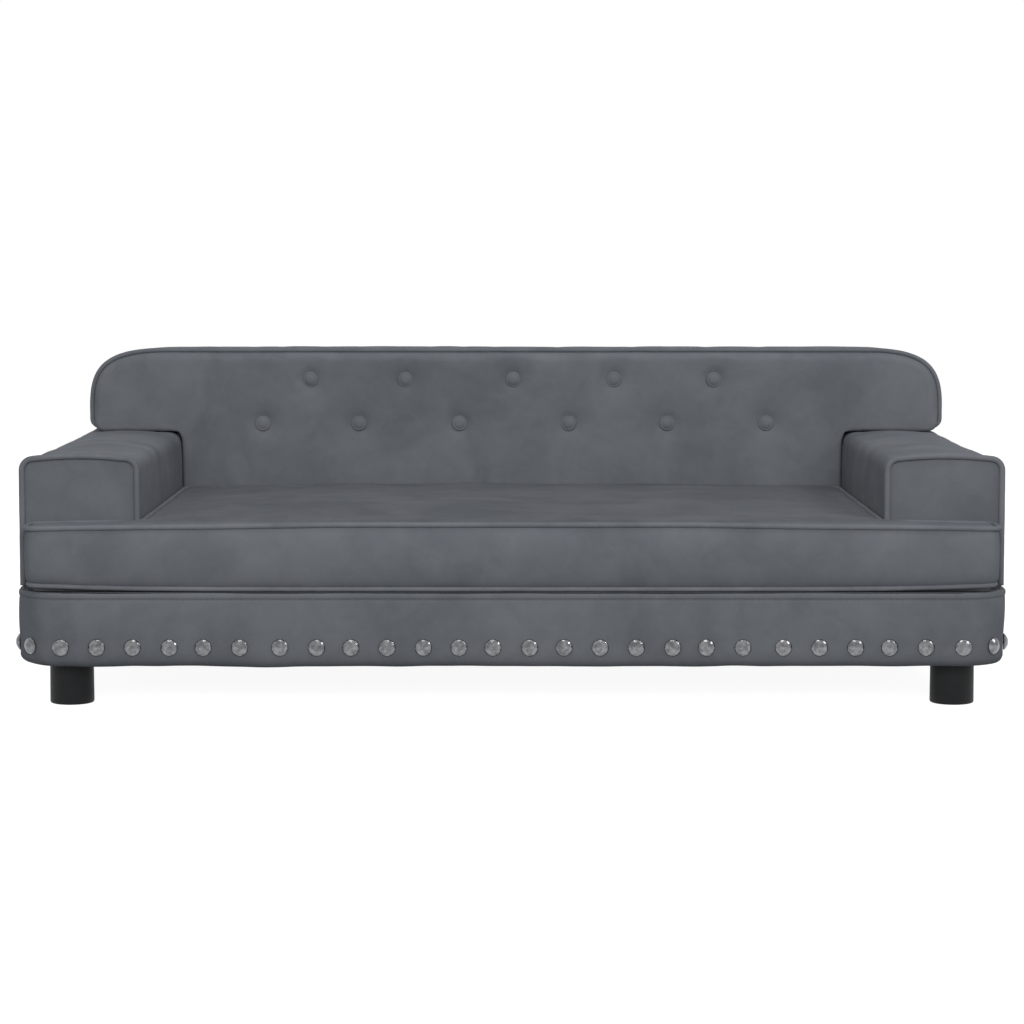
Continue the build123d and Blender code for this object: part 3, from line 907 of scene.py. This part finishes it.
def arm_cover(side, sign):
    """The cover of one arm with its front panel and its rear end, as one closed skin."""
    outline = offset(evenly(arm_outline(0.005), 0.005), seam_inset)
    near = [Vector((p.x, arm_seam + 0.0006, p.y)) for p in outline]
    far = [Vector((p.x, arm_rear - rear_inset, p.y)) for p in outline]
    away = edge_distance(outline)

    def front_height(point):
        return arm_seam + panel_lift - panel_crown * rise(away(point), 0.012)

    def rear_height(point):
        return arm_rear - rear_inset

    def swell(point, distance, share):
        return seam_inset * rise(distance, 0.006)
    rows = row_places(arm_rear - arm_seam - rear_inset - 0.0006, 0.0085)
    cover = sewn_form(
        side + "_arm_velvet", near, far, rows, 0.007, (0, 2),
        front_height, rear_height, swell, edge_rims, arm_velvet,
    )
    inflate(cover, 0.0016, [v.index for v in cover.data.vertices if v.co.z < arm_bottom + 0.006])

    def settle(place):
        """Unevenness, then the press of the wing, the neighbours and the deck as limits."""
        seam = min(abs(place.y - arm_seam) / seam_calm, 1)
        uneven = relief(place, 0.06, 0.0007, 31 + sign) + relief(place, 0.025, 0.0003, 12 + sign)
        middle = (arm_high_x + arm_low_x) / 2
        if place.y > arm_seam + 0.001:
            if place.z > arm_top - 0.03:
                place.z += uneven * seam
            elif abs(place.x - middle) > 0.03:
                place.x += math.copysign(uneven * seam, place.x - middle)
        press = clamp((place.y - back_front + press_start) / press_reach)
        press = press * press * (3 - 2 * press)
        top = (arm_top + arm_rise) * (1 - press) + (pressed_top - rest_gap) * press
        place.z = clamp(place.z, arm_bottom + rest_gap, top)
        place.x = clamp(place.x, arm_low_x - inner_bulge, arm_high_x + outer_bulge)
        place.y = clamp(place.y, arm_seam - 0.0010, arm_rear)
        return place
    reshape(cover, settle)
    if sign < 0:
        for vertex in cover.data.vertices:
            vertex.co.x *= -1
        cover.data.flip_normals()
    soften(cover)
    return cover


for side, sign in (("left", -1), ("right", 1)):
    cover = arm_cover(side, sign)
    seat_on(cover, "frame", "velvet", side + "_arm_cover", side + "_arm_front_panel")
    foam_inside(side + "_arm_foam", cover, "frame", side + "_arm_padding")
    outline = offset(evenly(arm_outline(0.0025), 0.0025), welt_inset)
    foot_of_arm = Vector((arm_high_x, arm_bottom))
    piping = standing_welt(
        side + "_arm_welt", outline, foot_of_arm, arm_seam - 0.0006, sign, arm_welt_radius
    )
    seat_on(piping, "frame", "piping", side + "_arm_piping")

# Back.
# A T-shaped board with foam in front of it. The velvet front is rolled over the foam's edge
# to a welt, a boxing strip closes the sides, and eleven buttons pull the front into the foam.

low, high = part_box("back_piping")
back_seam = (low.y + high.y) / 2
low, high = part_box("back_rear_cover")
back_bottom, back_top, back_rear = low.z, high.z, high.y
wing_left, wing_right = -low.x, high.x
corner_width, corner_height = 0.0787, 0.0582
wing_lower_radius, notch_radius = 0.012, 0.0128
stem_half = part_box("back_batten")[1].x + 0.0112
wing_low = arm_top
back_roll = back_seam - back_front
tight_roll = 0.0035
dimple_reach, dimple_depth, dimple_power = 0.028, 0.0052, 1.5
pit_reach, pit_depth = 0.0135, 0.0026
tuck, tuck_reach = 0.0056, 0.014
front_fullness, stem_bulge = 0.0034, 0.0022
hem_reach, hem_stretch, hem_drop = 0.012, 1.22, 0.0025
# Painted light: the back's velvet grows lighter towards its top edge, and its tone of 1.03 lightens the whole
# back.
back_painted_shading = ((0.17, 1), (0.26, 1), (back_top - 0.014, 1.03), (back_top, 1.1))
back_velvet = make_velvet("back_velvet", 1.03, painted_shading=back_painted_shading)


def wing_line(reach, step):
    """Half of the T from the foot of its stem: the notch over the arm, the wing, its soft corner."""
    line = [Vector((stem_half, back_bottom)), Vector((stem_half, wing_low - notch_radius))]
    line += arc((stem_half + notch_radius, wing_low - notch_radius), notch_radius, 180, 90, step)[1:]
    line += arc((reach - wing_lower_radius, wing_low + wing_lower_radius), wing_lower_radius, -90, 0, step)
    shoulder = Vector((reach, back_top - corner_height))
    handles = [
        shoulder,
        shoulder + Vector((0, corner_height * 0.67)),
        Vector((reach - corner_width + corner_width * 0.84, back_top)),
        Vector((reach - corner_width, back_top)),
    ]
    return line + geometry.interpolate_bezier(*handles, round(corner_width / step) + 1)


def back_outline(step):
    """The T anticlockwise, as seen with X to the right and Z up, from the foot of its stem."""
    right = wing_line(wing_right, step / 4)
    left = [Vector((-p.x, p.y)) for p in wing_line(wing_left, step / 4)]
    return right + left[::-1]


def button_places():
    """The middle of each button, from the CAD buttons."""
    places = []
    for points in loose_solids("back_buttons"):
        across, upright = [p.x for p in points], [p.z for p in points]
        places.append(Vector(((min(across) + max(across)) / 2, (min(upright) + max(upright)) / 2)))
    return sorted(places, key=lambda p: p.x)


def beside_arm(level):
    """1 where the back's edge runs beside or over an arm, 0 where it is free."""
    return clamp((wing_low + 0.008 - level) / 0.006)


buttons = button_places()
button_tree = point_tree(buttons)


def back_cover():
    outline = offset(evenly(back_outline(0.005), 0.005), seam_inset)
    near = [Vector((p.x, back_seam, p.y)) for p in outline]
    far = [Vector((p.x, back_rear - rear_inset, p.y)) for p in outline]
    away = edge_distance(outline)

    def front_height(point):
        """The roll at the edge, tight beside the arms, then the flat with its dimples."""
        free = clamp((point.y - wing_low - 0.006) / 0.016)
        roll = tight_roll + (back_roll - tight_roll) * free
        height = back_seam - (back_roll + 0.0008) * rise(away(point), roll)
        reach = button_tree.find((point.x, point.y, 0))[2]
        slope = max(1 - reach / dimple_reach, 0)
        return height + dimple_depth * slope ** dimple_power + pit_depth * max(1 - reach / pit_reach, 0)

    def rear_height(point):
        return back_rear - rear_inset

    def swell(point, distance, share):
        return seam_inset * rise(distance, 0.009)
    rows = row_places(back_rear - back_seam - rear_inset, 0.006)
    rims = [back_roll * (1 - math.cos(math.radians(angle))) for angle in (20, 34, 48, 62, 76, 90)]
    cover = sewn_form(
        "back_velvet", near, far, rows, 0.0055, (0, 2), front_height, rear_height, swell, rims, back_velvet
    )
    held = []
    for vertex in cover.data.vertices:
        reach = button_tree.find((vertex.co.x, vertex.co.z, 0))[2]
        if vertex.co.y < back_seam and reach < 0.008:
            held.append(vertex.index)
        elif vertex.co.y > back_rear - 0.002 or vertex.co.z < back_bottom + 0.004:
            held.append(vertex.index)
    inflate(cover, 0.0028, held)

    fine = evenly(outline, 0.001)
    away_from = outward(fine)
    fine_tree = point_tree(fine)

    def settle(place):
        """The tuck beside the arms, unevenness, then the deck and the arms as limits."""
        nearest, index, edge = fine_tree.find((place.x, place.z, 0))
        beside = beside_arm(nearest.y) * max(1 - edge / tuck_reach, 0)
        if place.y < back_seam - 0.001 and beside:
            place.x += away_from[index].x * tuck * beside
            place.z += away_from[index].y * tuck * beside
        reach = button_tree.find((place.x, place.z, 0))[2]
        seam = min(abs(place.y - back_seam) / seam_calm, 1)
        uneven = relief(place, 0.07, 0.0016, 41) + relief(place, 0.03, 0.0008, 17)
        if place.y < back_seam:
            place.y -= uneven * (seam * clamp((reach - 0.009) / 0.02))
        elif place.z > back_top - 0.02:
            place.z += uneven * 0.4 * seam
        above_deck = place.z - back_bottom
        if place.y > back_seam + seam_calm and above_deck < hem_reach:
            place.z = back_bottom + hem_stretch * above_deck - hem_drop
        place.z = max(place.z, back_bottom + rest_gap)
        if abs(place.x) > stem_half + 0.003:
            place.z = max(place.z, pressed_top + 0.0003)
        elif place.z < arm_top:
            place.x = math.copysign(min(abs(place.x), stem_half + stem_bulge), place.x)
        place.y = clamp(place.y, back_front - front_fullness, back_rear)
        return place
    reshape(cover, settle)
    soften(cover)
    return cover


def back_welt():
    """The welt sinks beside the arms and stops at the deck, on both sides of the stem."""
    sink = 0.0018
    outline = evenly(back_outline(0.0025), 0.0025)
    insets = [welt_inset + sink * beside_arm(p.y) for p in outline]
    outline = [p - out * inset for p, out, inset in zip(outline, outward(outline), insets)]
    return standing_welt("back_welt", outline, Vector((stem_half, back_bottom)), back_seam)


back = back_cover()
seat_on(back, "frame", "velvet", "back_front_cover", "back_boxing", "back_rear_cover")
foam_inside("back_foam", back, "frame", "back_padding")
seat_on(back_welt(), "frame", "piping", "back_piping")

# Buttons of the back.
# Metal shells covered with the same velvet, drawn in by a twine through the foam, so that
# each one sits in a shallow funnel of cloth.

button_radius, button_sink = 0.0083, 0.0014
button_seat = back_front + dimple_depth
button_dome = [(0, 0.0034), (0.2, 0.0033), (0.4, 0.0030), (0.56, 0.0025), (0.65, 0.0020)]
button_groove = [(0.70, 0.0016), (0.75, 0.0017), (0.82, 0.0018), (0.90, 0.0014), (0.97, 0.0006)]
button_under = [(1.0, -0.0003), (0.985, -0.0012), (0.93, -0.0020), (0.8, -0.0026)]


def button_caps():
    """Low domes with a groove round them where the cloth is pressed into the shell's rim."""
    sections = button_dome + button_groove + button_under
    profile = [(share * button_radius, height) for share, height in sections]
    parts = []
    for index, p in enumerate(buttons):
        def gathers(turn, height):
            """Small puckers where the cloth is gathered under the shell."""
            depth = max(0.0, 0.0008 - height) / 0.003
            return 1.0 + 0.025 * depth * math.sin(9 * turn + index) + 0.008 * math.sin(3 * turn + 2 * index)
        tilt = Vector((0.10 * math.sin(5.0 * index), -1, 0.10 * math.cos(3.0 * index)))
        place = Vector((p.x, button_seat - button_sink, p.y))
        parts.append(turned(profile, place, tilt, 40, gathers))
    return smooth_mesh("button_caps", *joined(parts), welt_velvet)


seat_on(button_caps(), "frame", "velvet", "back_buttons")

# Twines of the buttons.
# Two-ply waxed twine from each button's shank through the foam, knotted behind the board.

twine_shades = [(0.2, (0.05, 0.05, 0.052)), (0.8, (0.13, 0.13, 0.135))]
twine = finish("twine", 0.7, twine_shades, twist(900.0, 1.0), depth=(0.6, 0.0003))


def twines():
    ply_radius, turns, steps = 0.0004, 14, 60
    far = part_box("back_twines")[1].y
    parts = []
    for p in buttons:
        for ply in (0, math.pi):
            path = []
            for i in range(steps + 1):
                turn = ply + turns * math.tau * i / steps
                x, z = p.x + ply_radius * math.cos(turn), p.y + ply_radius * math.sin(turn)
                path.append(Vector((x, button_seat + (far - button_seat) * i / steps, z)))
            parts.append(tube(path, ply_radius, 5, up))
    return smooth_mesh("button_twines", *joined(parts), twine)


seat_on(twines(), "frame", "twine", "back_twines")

# Seat cushion.
# A loose T-shaped cushion: a foam core in a boxed velvet cover with a welt at both edges. The
# corners of the ears are drawn in by the welts, and the long front edge is soft.

low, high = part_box("cushion_boxing")
cushion_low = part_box("cushion_bottom_panel")[0].z
cushion_front, cushion_rear = low.y + 0.002, high.y - 0.002
cushion_ear, cushion_stem = high.x - 0.0035, 0.3375
cushion_notch = arm_front - 0.0045
lower_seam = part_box("cushion_lower_piping")[0].z + welt_radius
upper_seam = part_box("cushion_upper_piping")[1].z - welt_radius
ear_start = cushion_stem + 0.005
sag_places = [0.16, 0.27, 0.335, 0.38, 0.437, 0.446]
upper_sag = [0, 0.0017, 0.0022, 0.0026, 0.0038, 0.0042]
lower_lift = [0, 0.0002, 0.0007, 0.0016, 0.0038, 0.0042]
lower_tuck = 0.0026
edge_crown, middle_crown, ear_flatness = 0.0032, 0.0034, 0.55
boxing_bulge, ear_bulge, fullness = 0.0024, 0.0008, 0.0034
seat_folds = ((-0.212, 0.0022), (-0.180, 0.0018), (-0.140, 0.0012))
folds_middle, folds_half, fold_width = 0.08, 0.17, 0.0085
zip_low, zip_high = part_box("zip_tape")
zip_level = (zip_low.z + zip_high.z) / 2
# Painted light and shade on the cushion: the boxing darkens towards the lower welt and is lightest just under
# the upper welt, and the top panel is darkened.
cushion_painted_shading = (
    (lower_seam, 0.78), (0.125, 0.93), (0.150, 1), (upper_seam - 0.002, 1.06),
    (upper_seam + 0.0008, 0.97), (upper_seam + 0.0024, 0.775), (0.173, 0.78),
)
cushion_velvet = make_velvet("cushion_velvet", painted_shading=cushion_painted_shading)


def rounded_line(corners, step):
    """A closed line with its corners, given as (point, radius), rounded by arcs."""
    points = []
    for i, (corner, radius) in enumerate(corners):
        before = (corners[i - 1][0] - corner).normalized()
        after = (corners[(i + 1) % len(corners)][0] - corner).normalized()
        half = before.angle(after) / 2
        centre = corner + (before + after).normalized() * (radius / math.sin(half))
        start, end = [corner + way * (radius / math.tan(half)) for way in (before, after)]
        first = math.atan2(start.y - centre.y, start.x - centre.x)
        turn = (math.atan2(end.y - centre.y, end.x - centre.x) - first + math.pi) % math.tau - math.pi
        count = max(3, round(abs(turn) * radius / step) + 1)
        for k in range(count):
            angle = first + turn * k / (count - 1)
            points.append(centre + Vector((math.cos(angle), math.sin(angle))) * radius)
    return points


def cushion_outline(step):
    right = [
        (Vector((cushion_ear, cushion_front)), 0.012),
        (Vector((cushion_ear, cushion_notch)), 0.012),
        (Vector((cushion_stem, cushion_notch)), 0.005),
        (Vector((cushion_stem, cushion_rear)), 0.010),
    ]
    left = [(Vector((-p.x, p.y)), radius) for p, radius in right[::-1]]
    return evenly(rounded_line(right + left, step / 4), step)


def ear_share(x):
    return max(abs(x) - ear_start, 0) / (cushion_ear - ear_start)


def seam_level(x, upper):
    """The seams draw together over the ears."""
    if upper:
        return upper_seam - float(np.interp(abs(x), sag_places, upper_sag))
    return lower_seam + float(np.interp(abs(x), sag_places, lower_lift))


def fold_depth(place):
    """Three shallow folds across the seat, right of the middle, where it has been sat on."""
    from_middle = place.x - folds_middle
    if abs(from_middle) >= folds_half:
        return 0.0
    fade = math.cos(from_middle / folds_half * math.pi / 2) ** 2
    depth = 0.0
    for level, deepest in seat_folds:
        bend = level + 0.006 * math.sin(place.x * 22 + level * 90) - 0.05 * from_middle
        depth += deepest * fade * math.exp(-((place.y - bend) / fold_width) ** 2)
    return depth


def cushion_cover():
    outline = offset(cushion_outline(0.0055), seam_inset)
    near = [Vector((p.x, p.y, seam_level(p.x, False))) for p in offset(outline, lower_tuck)]
    far = [Vector((p.x, p.y, seam_level(p.x, True))) for p in outline]
    away = edge_distance(outline)

    def lower_height(point):
        seam = seam_level(point.x, False)
        return seam - (seam - cushion_low - 0.0003) * rise(away(point), 0.005)

    def upper_height(point):
        edge = away(point)
        crown = edge_crown * rise(edge, 0.014) + middle_crown * (1 - math.exp(-edge / 0.05))
        return seam_level(point.x, True) + crown * (1 - ear_flatness * min(ear_share(point.x) * 3, 1))

    def swell(point, distance, share):
        bulge = boxing_bulge if abs(point.x) < cushion_ear - 0.006 else ear_bulge
        tucked = lower_tuck * (1 - share) * rise(distance, 0.008)
        return seam_inset * rise(distance, 0.008) + tucked + bulge * (1 - (2 * share - 1) ** 2)
    rows = row_places(upper_seam - lower_seam, 0.006)
    cover = sewn_form(
        "cushion_velvet", near, far, rows, 0.008, (0, 1),
        lower_height, upper_height, swell, edge_rims, cushion_velvet,
    )
    flat = [v.index for v in cover.data.vertices if v.co.z < lower_seam + 0.0005]
    behind = [v.index for v in cover.data.vertices if v.co.y > cushion_rear - 0.02 and abs(v.co.x) < 0.22]
    inflate(cover, 0.0026, flat + behind)

    def settle(place):
        """Unevenness and folds, room for the zip, then the deck, arms and back as limits."""
        if place.z > seam_level(place.x, True) + 0.0008:
            calm = min(away(place.xy) / 0.03, 1)
            uneven = relief(place, 0.085, 0.0020, 51) + relief(place, 0.035, 0.0008, 27)
            place.z += (uneven - fold_depth(place)) * calm
        elif place.z > seam_level(place.x, False) + 0.002 and place.y < cushion_front + 0.004:
            middle = 1 - abs(2 * (place.z - lower_seam) / (upper_seam - lower_seam) - 1)
            uneven = relief(place, 0.05, 0.0011, 61) + relief(place, 0.02, 0.0005, 62)
            place.y -= uneven * min(middle * 3, 1)
        tape_half = (zip_high.z - zip_low.z) / 2 + 0.001
        at_zip = abs(place.x) < zip_high.x + 0.001 and abs(place.z - zip_level) < tape_half
        if at_zip and place.y > cushion_rear - 0.004:
            place.y = min(place.y, zip_low.y - 0.0004)
        side_room = 0.0010 if place.y < arm_seam + 0.006 else 0.0027
        place.z = max(place.z, cushion_low + rest_gap)
        place.y = clamp(place.y, cushion_front - fullness, cushion_rear + 0.0028)
        if abs(place.x) < cushion_stem + 0.004 and place.y > cushion_notch:
            place.x = math.copysign(min(abs(place.x), cushion_stem + side_room), place.x)
        if abs(place.x) > cushion_stem + 0.006:
            place.y = min(place.y, cushion_notch + 0.0024)
        place.x = clamp(place.x, -cushion_ear - fullness, cushion_ear + fullness)
        return place
    reshape(cover, settle)
    soften(cover)
    return cover


def cushion_welt(name, upper):
    outline = offset(cushion_outline(0.0028), welt_inset + (0 if upper else lower_tuck))
    return welt(name, [Vector((p.x, p.y, seam_level(p.x, upper))) for p in outline], up)


cushion = cushion_cover()
seat_on(cushion, "cushion", "velvet", "cushion_top_panel", "cushion_boxing", "cushion_bottom_panel")
foam_inside("cushion_foam", cushion, "cushion", "cushion_core")
seat_on(cushion_welt("cushion_upper_welt", True), "cushion", "piping", "cushion_upper_piping")
seat_on(cushion_welt("cushion_lower_welt", False), "cushion", "piping", "cushion_lower_piping")

# Zip in the rear of the cushion.
# Two woven tapes sewn behind the boxing's edges carry a nylon coil, and a die-cast slider with
# a flat pull runs on it, so that the foam can be taken out and the cover washed.

coil_pitch, coil_radius, coil_margin = 0.0017, 0.00042, 0.003
tape_rows = [(-0.0119, 0.0), (-0.006, 0.0001), (-0.0024, 0.0003), (-0.0004, 0.0001)]
loop = [(-0.0024, 0.0003), (-0.0012, 0.0010), (0.0004, 0.0010), (0.0009, 0.0003)]
zip_cloth = make_cloth("zip_cloth", (0.02, 0.022, 0.025), (0.05, 0.054, 0.06), 700.0)
nylon_shades = [(0.3, (0.03, 0.033, 0.038)), (0.7, (0.05, 0.054, 0.06))]
nylon = finish("nylon", 0.35, nylon_shades, mottle(300.0))


def zip_tape():
    """Two tapes with a small gap under the coil, their outer edges tucked under the velvet."""
    parts = []
    length, steps = zip_high.x - zip_low.x, 84
    for sign in (-1, 1):
        verts = []
        for i in range(steps + 1):
            x = zip_low.x + length * i / steps
            for across, lift in tape_rows:
                wave = relief((x, 0, across), 0.03, 0.0003, 71)
                verts.append(Vector((x, zip_low.y + 0.0006 + lift + wave, zip_level + sign * across)))
        parts.append((verts, quads(steps + 1, len(tape_rows))))
    piece = smooth_mesh("zip_tapes", *joined(parts), zip_cloth)
    piece.modifiers.new("thickness", "SOLIDIFY").thickness = 0.0006
    return piece


def zip_coil():
    """Loops of nylon from both tapes that lock in the middle."""
    parts = []
    face = zip_low.y + 0.0012
    for i in range(int((zip_high.x - zip_low.x - 2 * coil_margin) / coil_pitch)):
        for sign in (-1, 1):
            x = zip_low.x + coil_margin + coil_pitch * (i + (0.5 if sign > 0 else 0.0))
            path = [Vector((x, face + lift, zip_level + sign * across)) for across, lift in loop]
            parts.append(tube(path, coil_radius, 5, Vector((1, 0, 0))))
    return smooth_mesh("zip_coil", *joined(parts), nylon)


def plate(outline, near, far, bevel):
    """A flat piece in X and Z between two depths, with its outer edge bevelled."""
    count = len(outline)
    inner = offset(outline, bevel)
    rings = [(inner, near), (outline, near + bevel), (outline, far - bevel), (inner, far)]
    verts = [Vector((p.x, depth, p.y)) for ring, depth in rings for p in ring]
    ends = [tuple(range(count)), tuple(range(3 * count, 4 * count))]
    return verts, ends + quads(4, count, joined_ends=True)


def zip_slider():
    """A heart-shaped top plate on two side wings, a bridge over it and a pull hanging from it."""
    low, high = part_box("zip_slider")
    middle_x, half_x, half_z = (low.x + high.x) / 2, (high.x - low.x) / 2, (high.z - low.z) / 2
    lower = [(-1.0, -0.35), (-0.75, -0.72), (0.1, -1.0), (0.7, -0.92), (1.0, -0.5), (0.8, -0.12)]
    heart = lower + [(0.62, 0.0)] + [(x, -z) for x, z in lower[::-1]]
    outline = [Vector((middle_x + half_x * x, zip_level + half_z * z)) for x, z in heart]
    parts = [plate(outline, high.y - 0.0009, high.y, 0.00025)]
    for sign in (-1, 1):
        corners = ((-0.7, 0.72), (0.5, 0.9), (0.5, 0.98), (-0.7, 0.8))
        wing = [Vector((middle_x + half_x * x, zip_level + sign * half_z * z)) for x, z in corners]
        parts.append(plate(wing, low.y, high.y - 0.0007, 0.0001))
    arch = ((-0.6, -0.0002), (-0.45, 0.0008), (0.3, 0.0008), (0.45, -0.0002))
    bridge = [Vector((middle_x + half_x * x, high.y + lift, zip_level)) for x, lift in arch]
    parts.append(tube(bridge, 0.0005, 8, up))
    half_pull = [(-0.0016, 0.002), (-0.0022, -0.004), (-0.0026, -0.012), (-0.0018, -0.0142)]
    pull = half_pull + [(-x, z) for x, z in half_pull[::-1]]
    pull_outline = [Vector((middle_x - 0.001 + x, zip_level + z)) for x, z in pull]
    parts.append(plate(pull_outline, high.y + 0.0001, high.y + 0.0009, 0.0002))
    return smooth_mesh("zip_slider_body", *joined(parts), zinc)


seat_on(zip_tape(), "cushion", "zip", "zip_tape")
seat_on(zip_coil(), "cushion", "zip")
slider = zip_slider()
sharp_edges(slider, 40)
seat_on(slider, "zip_slider", "steel", "zip_slider")

# Staples of the dust cloth.
# Wire staples driven through the folded edge of the black cloth and the velvet into the rails,
# about 34 mm apart, each a little askew.

staple_step, staple_inset, wire_radius = 0.034, 0.029, 0.00045
staple = [(-0.0056, 0.0014), (-0.0053, 0.0), (0.0053, 0.0), (0.0056, 0.0014)]


def staples():
    parts = []
    outline = evenly(base_outline(), staple_step)
    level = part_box("dust_cover")[0].z
    for i, (place, out) in enumerate(zip(outline, outward(outline))):
        along = Vector((-out.y, out.x, 0)) + Vector((out.x, out.y, 0)) * (0.3 * math.sin(7 * i))
        along.normalize()
        inset = staple_inset + 0.0012 * math.sin(3 * i)
        middle = Vector((place.x - out.x * inset, place.y - out.y * inset, level - 0.0002))
        path = [middle + along * reach + Vector((0, 0, lift)) for reach, lift in staple]
        parts.append(tube(path, wire_radius, 6, Vector((-along.y, along.x, 0))))
    return smooth_mesh("dust_cloth_staples", *joined(parts), zinc)


seat_on(staples(), "frame", "steel")

# Floor, light and camera.
# A white photo studio: a large soft lamp in front, a smaller one overhead and one at the
# right, an even white room around, and white paper under the sofa.

white = (1, 1, 1, 1)
room_light = 0.5
paper, paper_glow = (0.35, 0.35, 0.35, 1), 0.93


def seen_directly(tree):
    """1 for what the camera sees, straight, in metal or through glass, and 0 for light."""
    path = add_node(tree, "LightPath")
    seen = math_node(tree, "MAXIMUM", path.outputs["Is Camera Ray"], path.outputs["Is Glossy Ray"])
    return math_node(tree, "MAXIMUM", seen, path.outputs["Is Transmission Ray"])


def white_room():
    world = bpy.data.worlds.new("white_room")
    world.use_nodes = True
    bpy.context.scene.world = world
    tree = world.node_tree
    span = {"Value": seen_directly(tree), "To Min": room_light, "To Max": 1.0}
    background = tree.nodes["Background"]
    background.inputs["Color"].default_value = white
    tree.links.new(add_node(tree, "MapRange", span).outputs["Result"], background.inputs["Strength"])


def studio_floor():
    """White paper. To the camera it glows a little, and still takes the object's shadow."""
    verts = [(-3, -3, 0), (3, -3, 0), (3, 3, 0), (-3, 3, 0)]
    white_paper, tree, shader = new_material("white_paper", 0.9)
    piece = smooth_mesh("studio_floor", verts, [(0, 1, 2, 3)], white_paper)
    shader.inputs["Base Color"].default_value = paper
    shader.inputs["Specular IOR Level"].default_value = 0.0
    shader.inputs["Emission Color"].default_value = white
    glow = math_node(tree, "MULTIPLY", seen_directly(tree), paper_glow)
    tree.links.new(glow, shader.inputs["Emission Strength"])


def studio_lamp(name, place, size, power):
    """A rectangular soft lamp that points at the middle of the sofa."""
    target = Vector((0, 0, 0.15))
    lamp = bpy.data.lights.new(name, "AREA")
    lamp.shape, lamp.size, lamp.size_y, lamp.energy = "RECTANGLE", *size, power
    holder = bpy.data.objects.new(name, lamp)
    holder.location = place
    holder.rotation_euler = (target - Vector(place)).to_track_quat("-Z", "Y").to_euler()
    bpy.context.scene.collection.objects.link(holder)
    return holder


white_room()
studio_floor()
key = studio_lamp("key_softbox", (0.0, -3.15, 1.15), (1.6, 0.8), 58.0)
key.visible_glossy = False
studio_lamp("overhead_softbox", (-0.1, -0.75, 2.2), (0.9, 0.5), 5.5)
studio_lamp("right_softbox", (2.1, -0.7, 1.6), (0.5, 0.5), 9.0)

lens, film_width = 105.55, 36.0
eye, tilt_down = (0.0, -2.9302, 0.4217), 5.205
camera_data = bpy.data.cameras.new("camera")
camera_data.lens, camera_data.sensor_width = lens, film_width
camera = bpy.data.objects.new("camera", camera_data)
camera.location = eye
camera.rotation_euler = (math.radians(90 - tilt_down), 0, 0)
bpy.context.scene.collection.objects.link(camera)
bpy.context.scene.camera = camera

view = bpy.context.scene.view_settings
view.view_transform = "Standard"
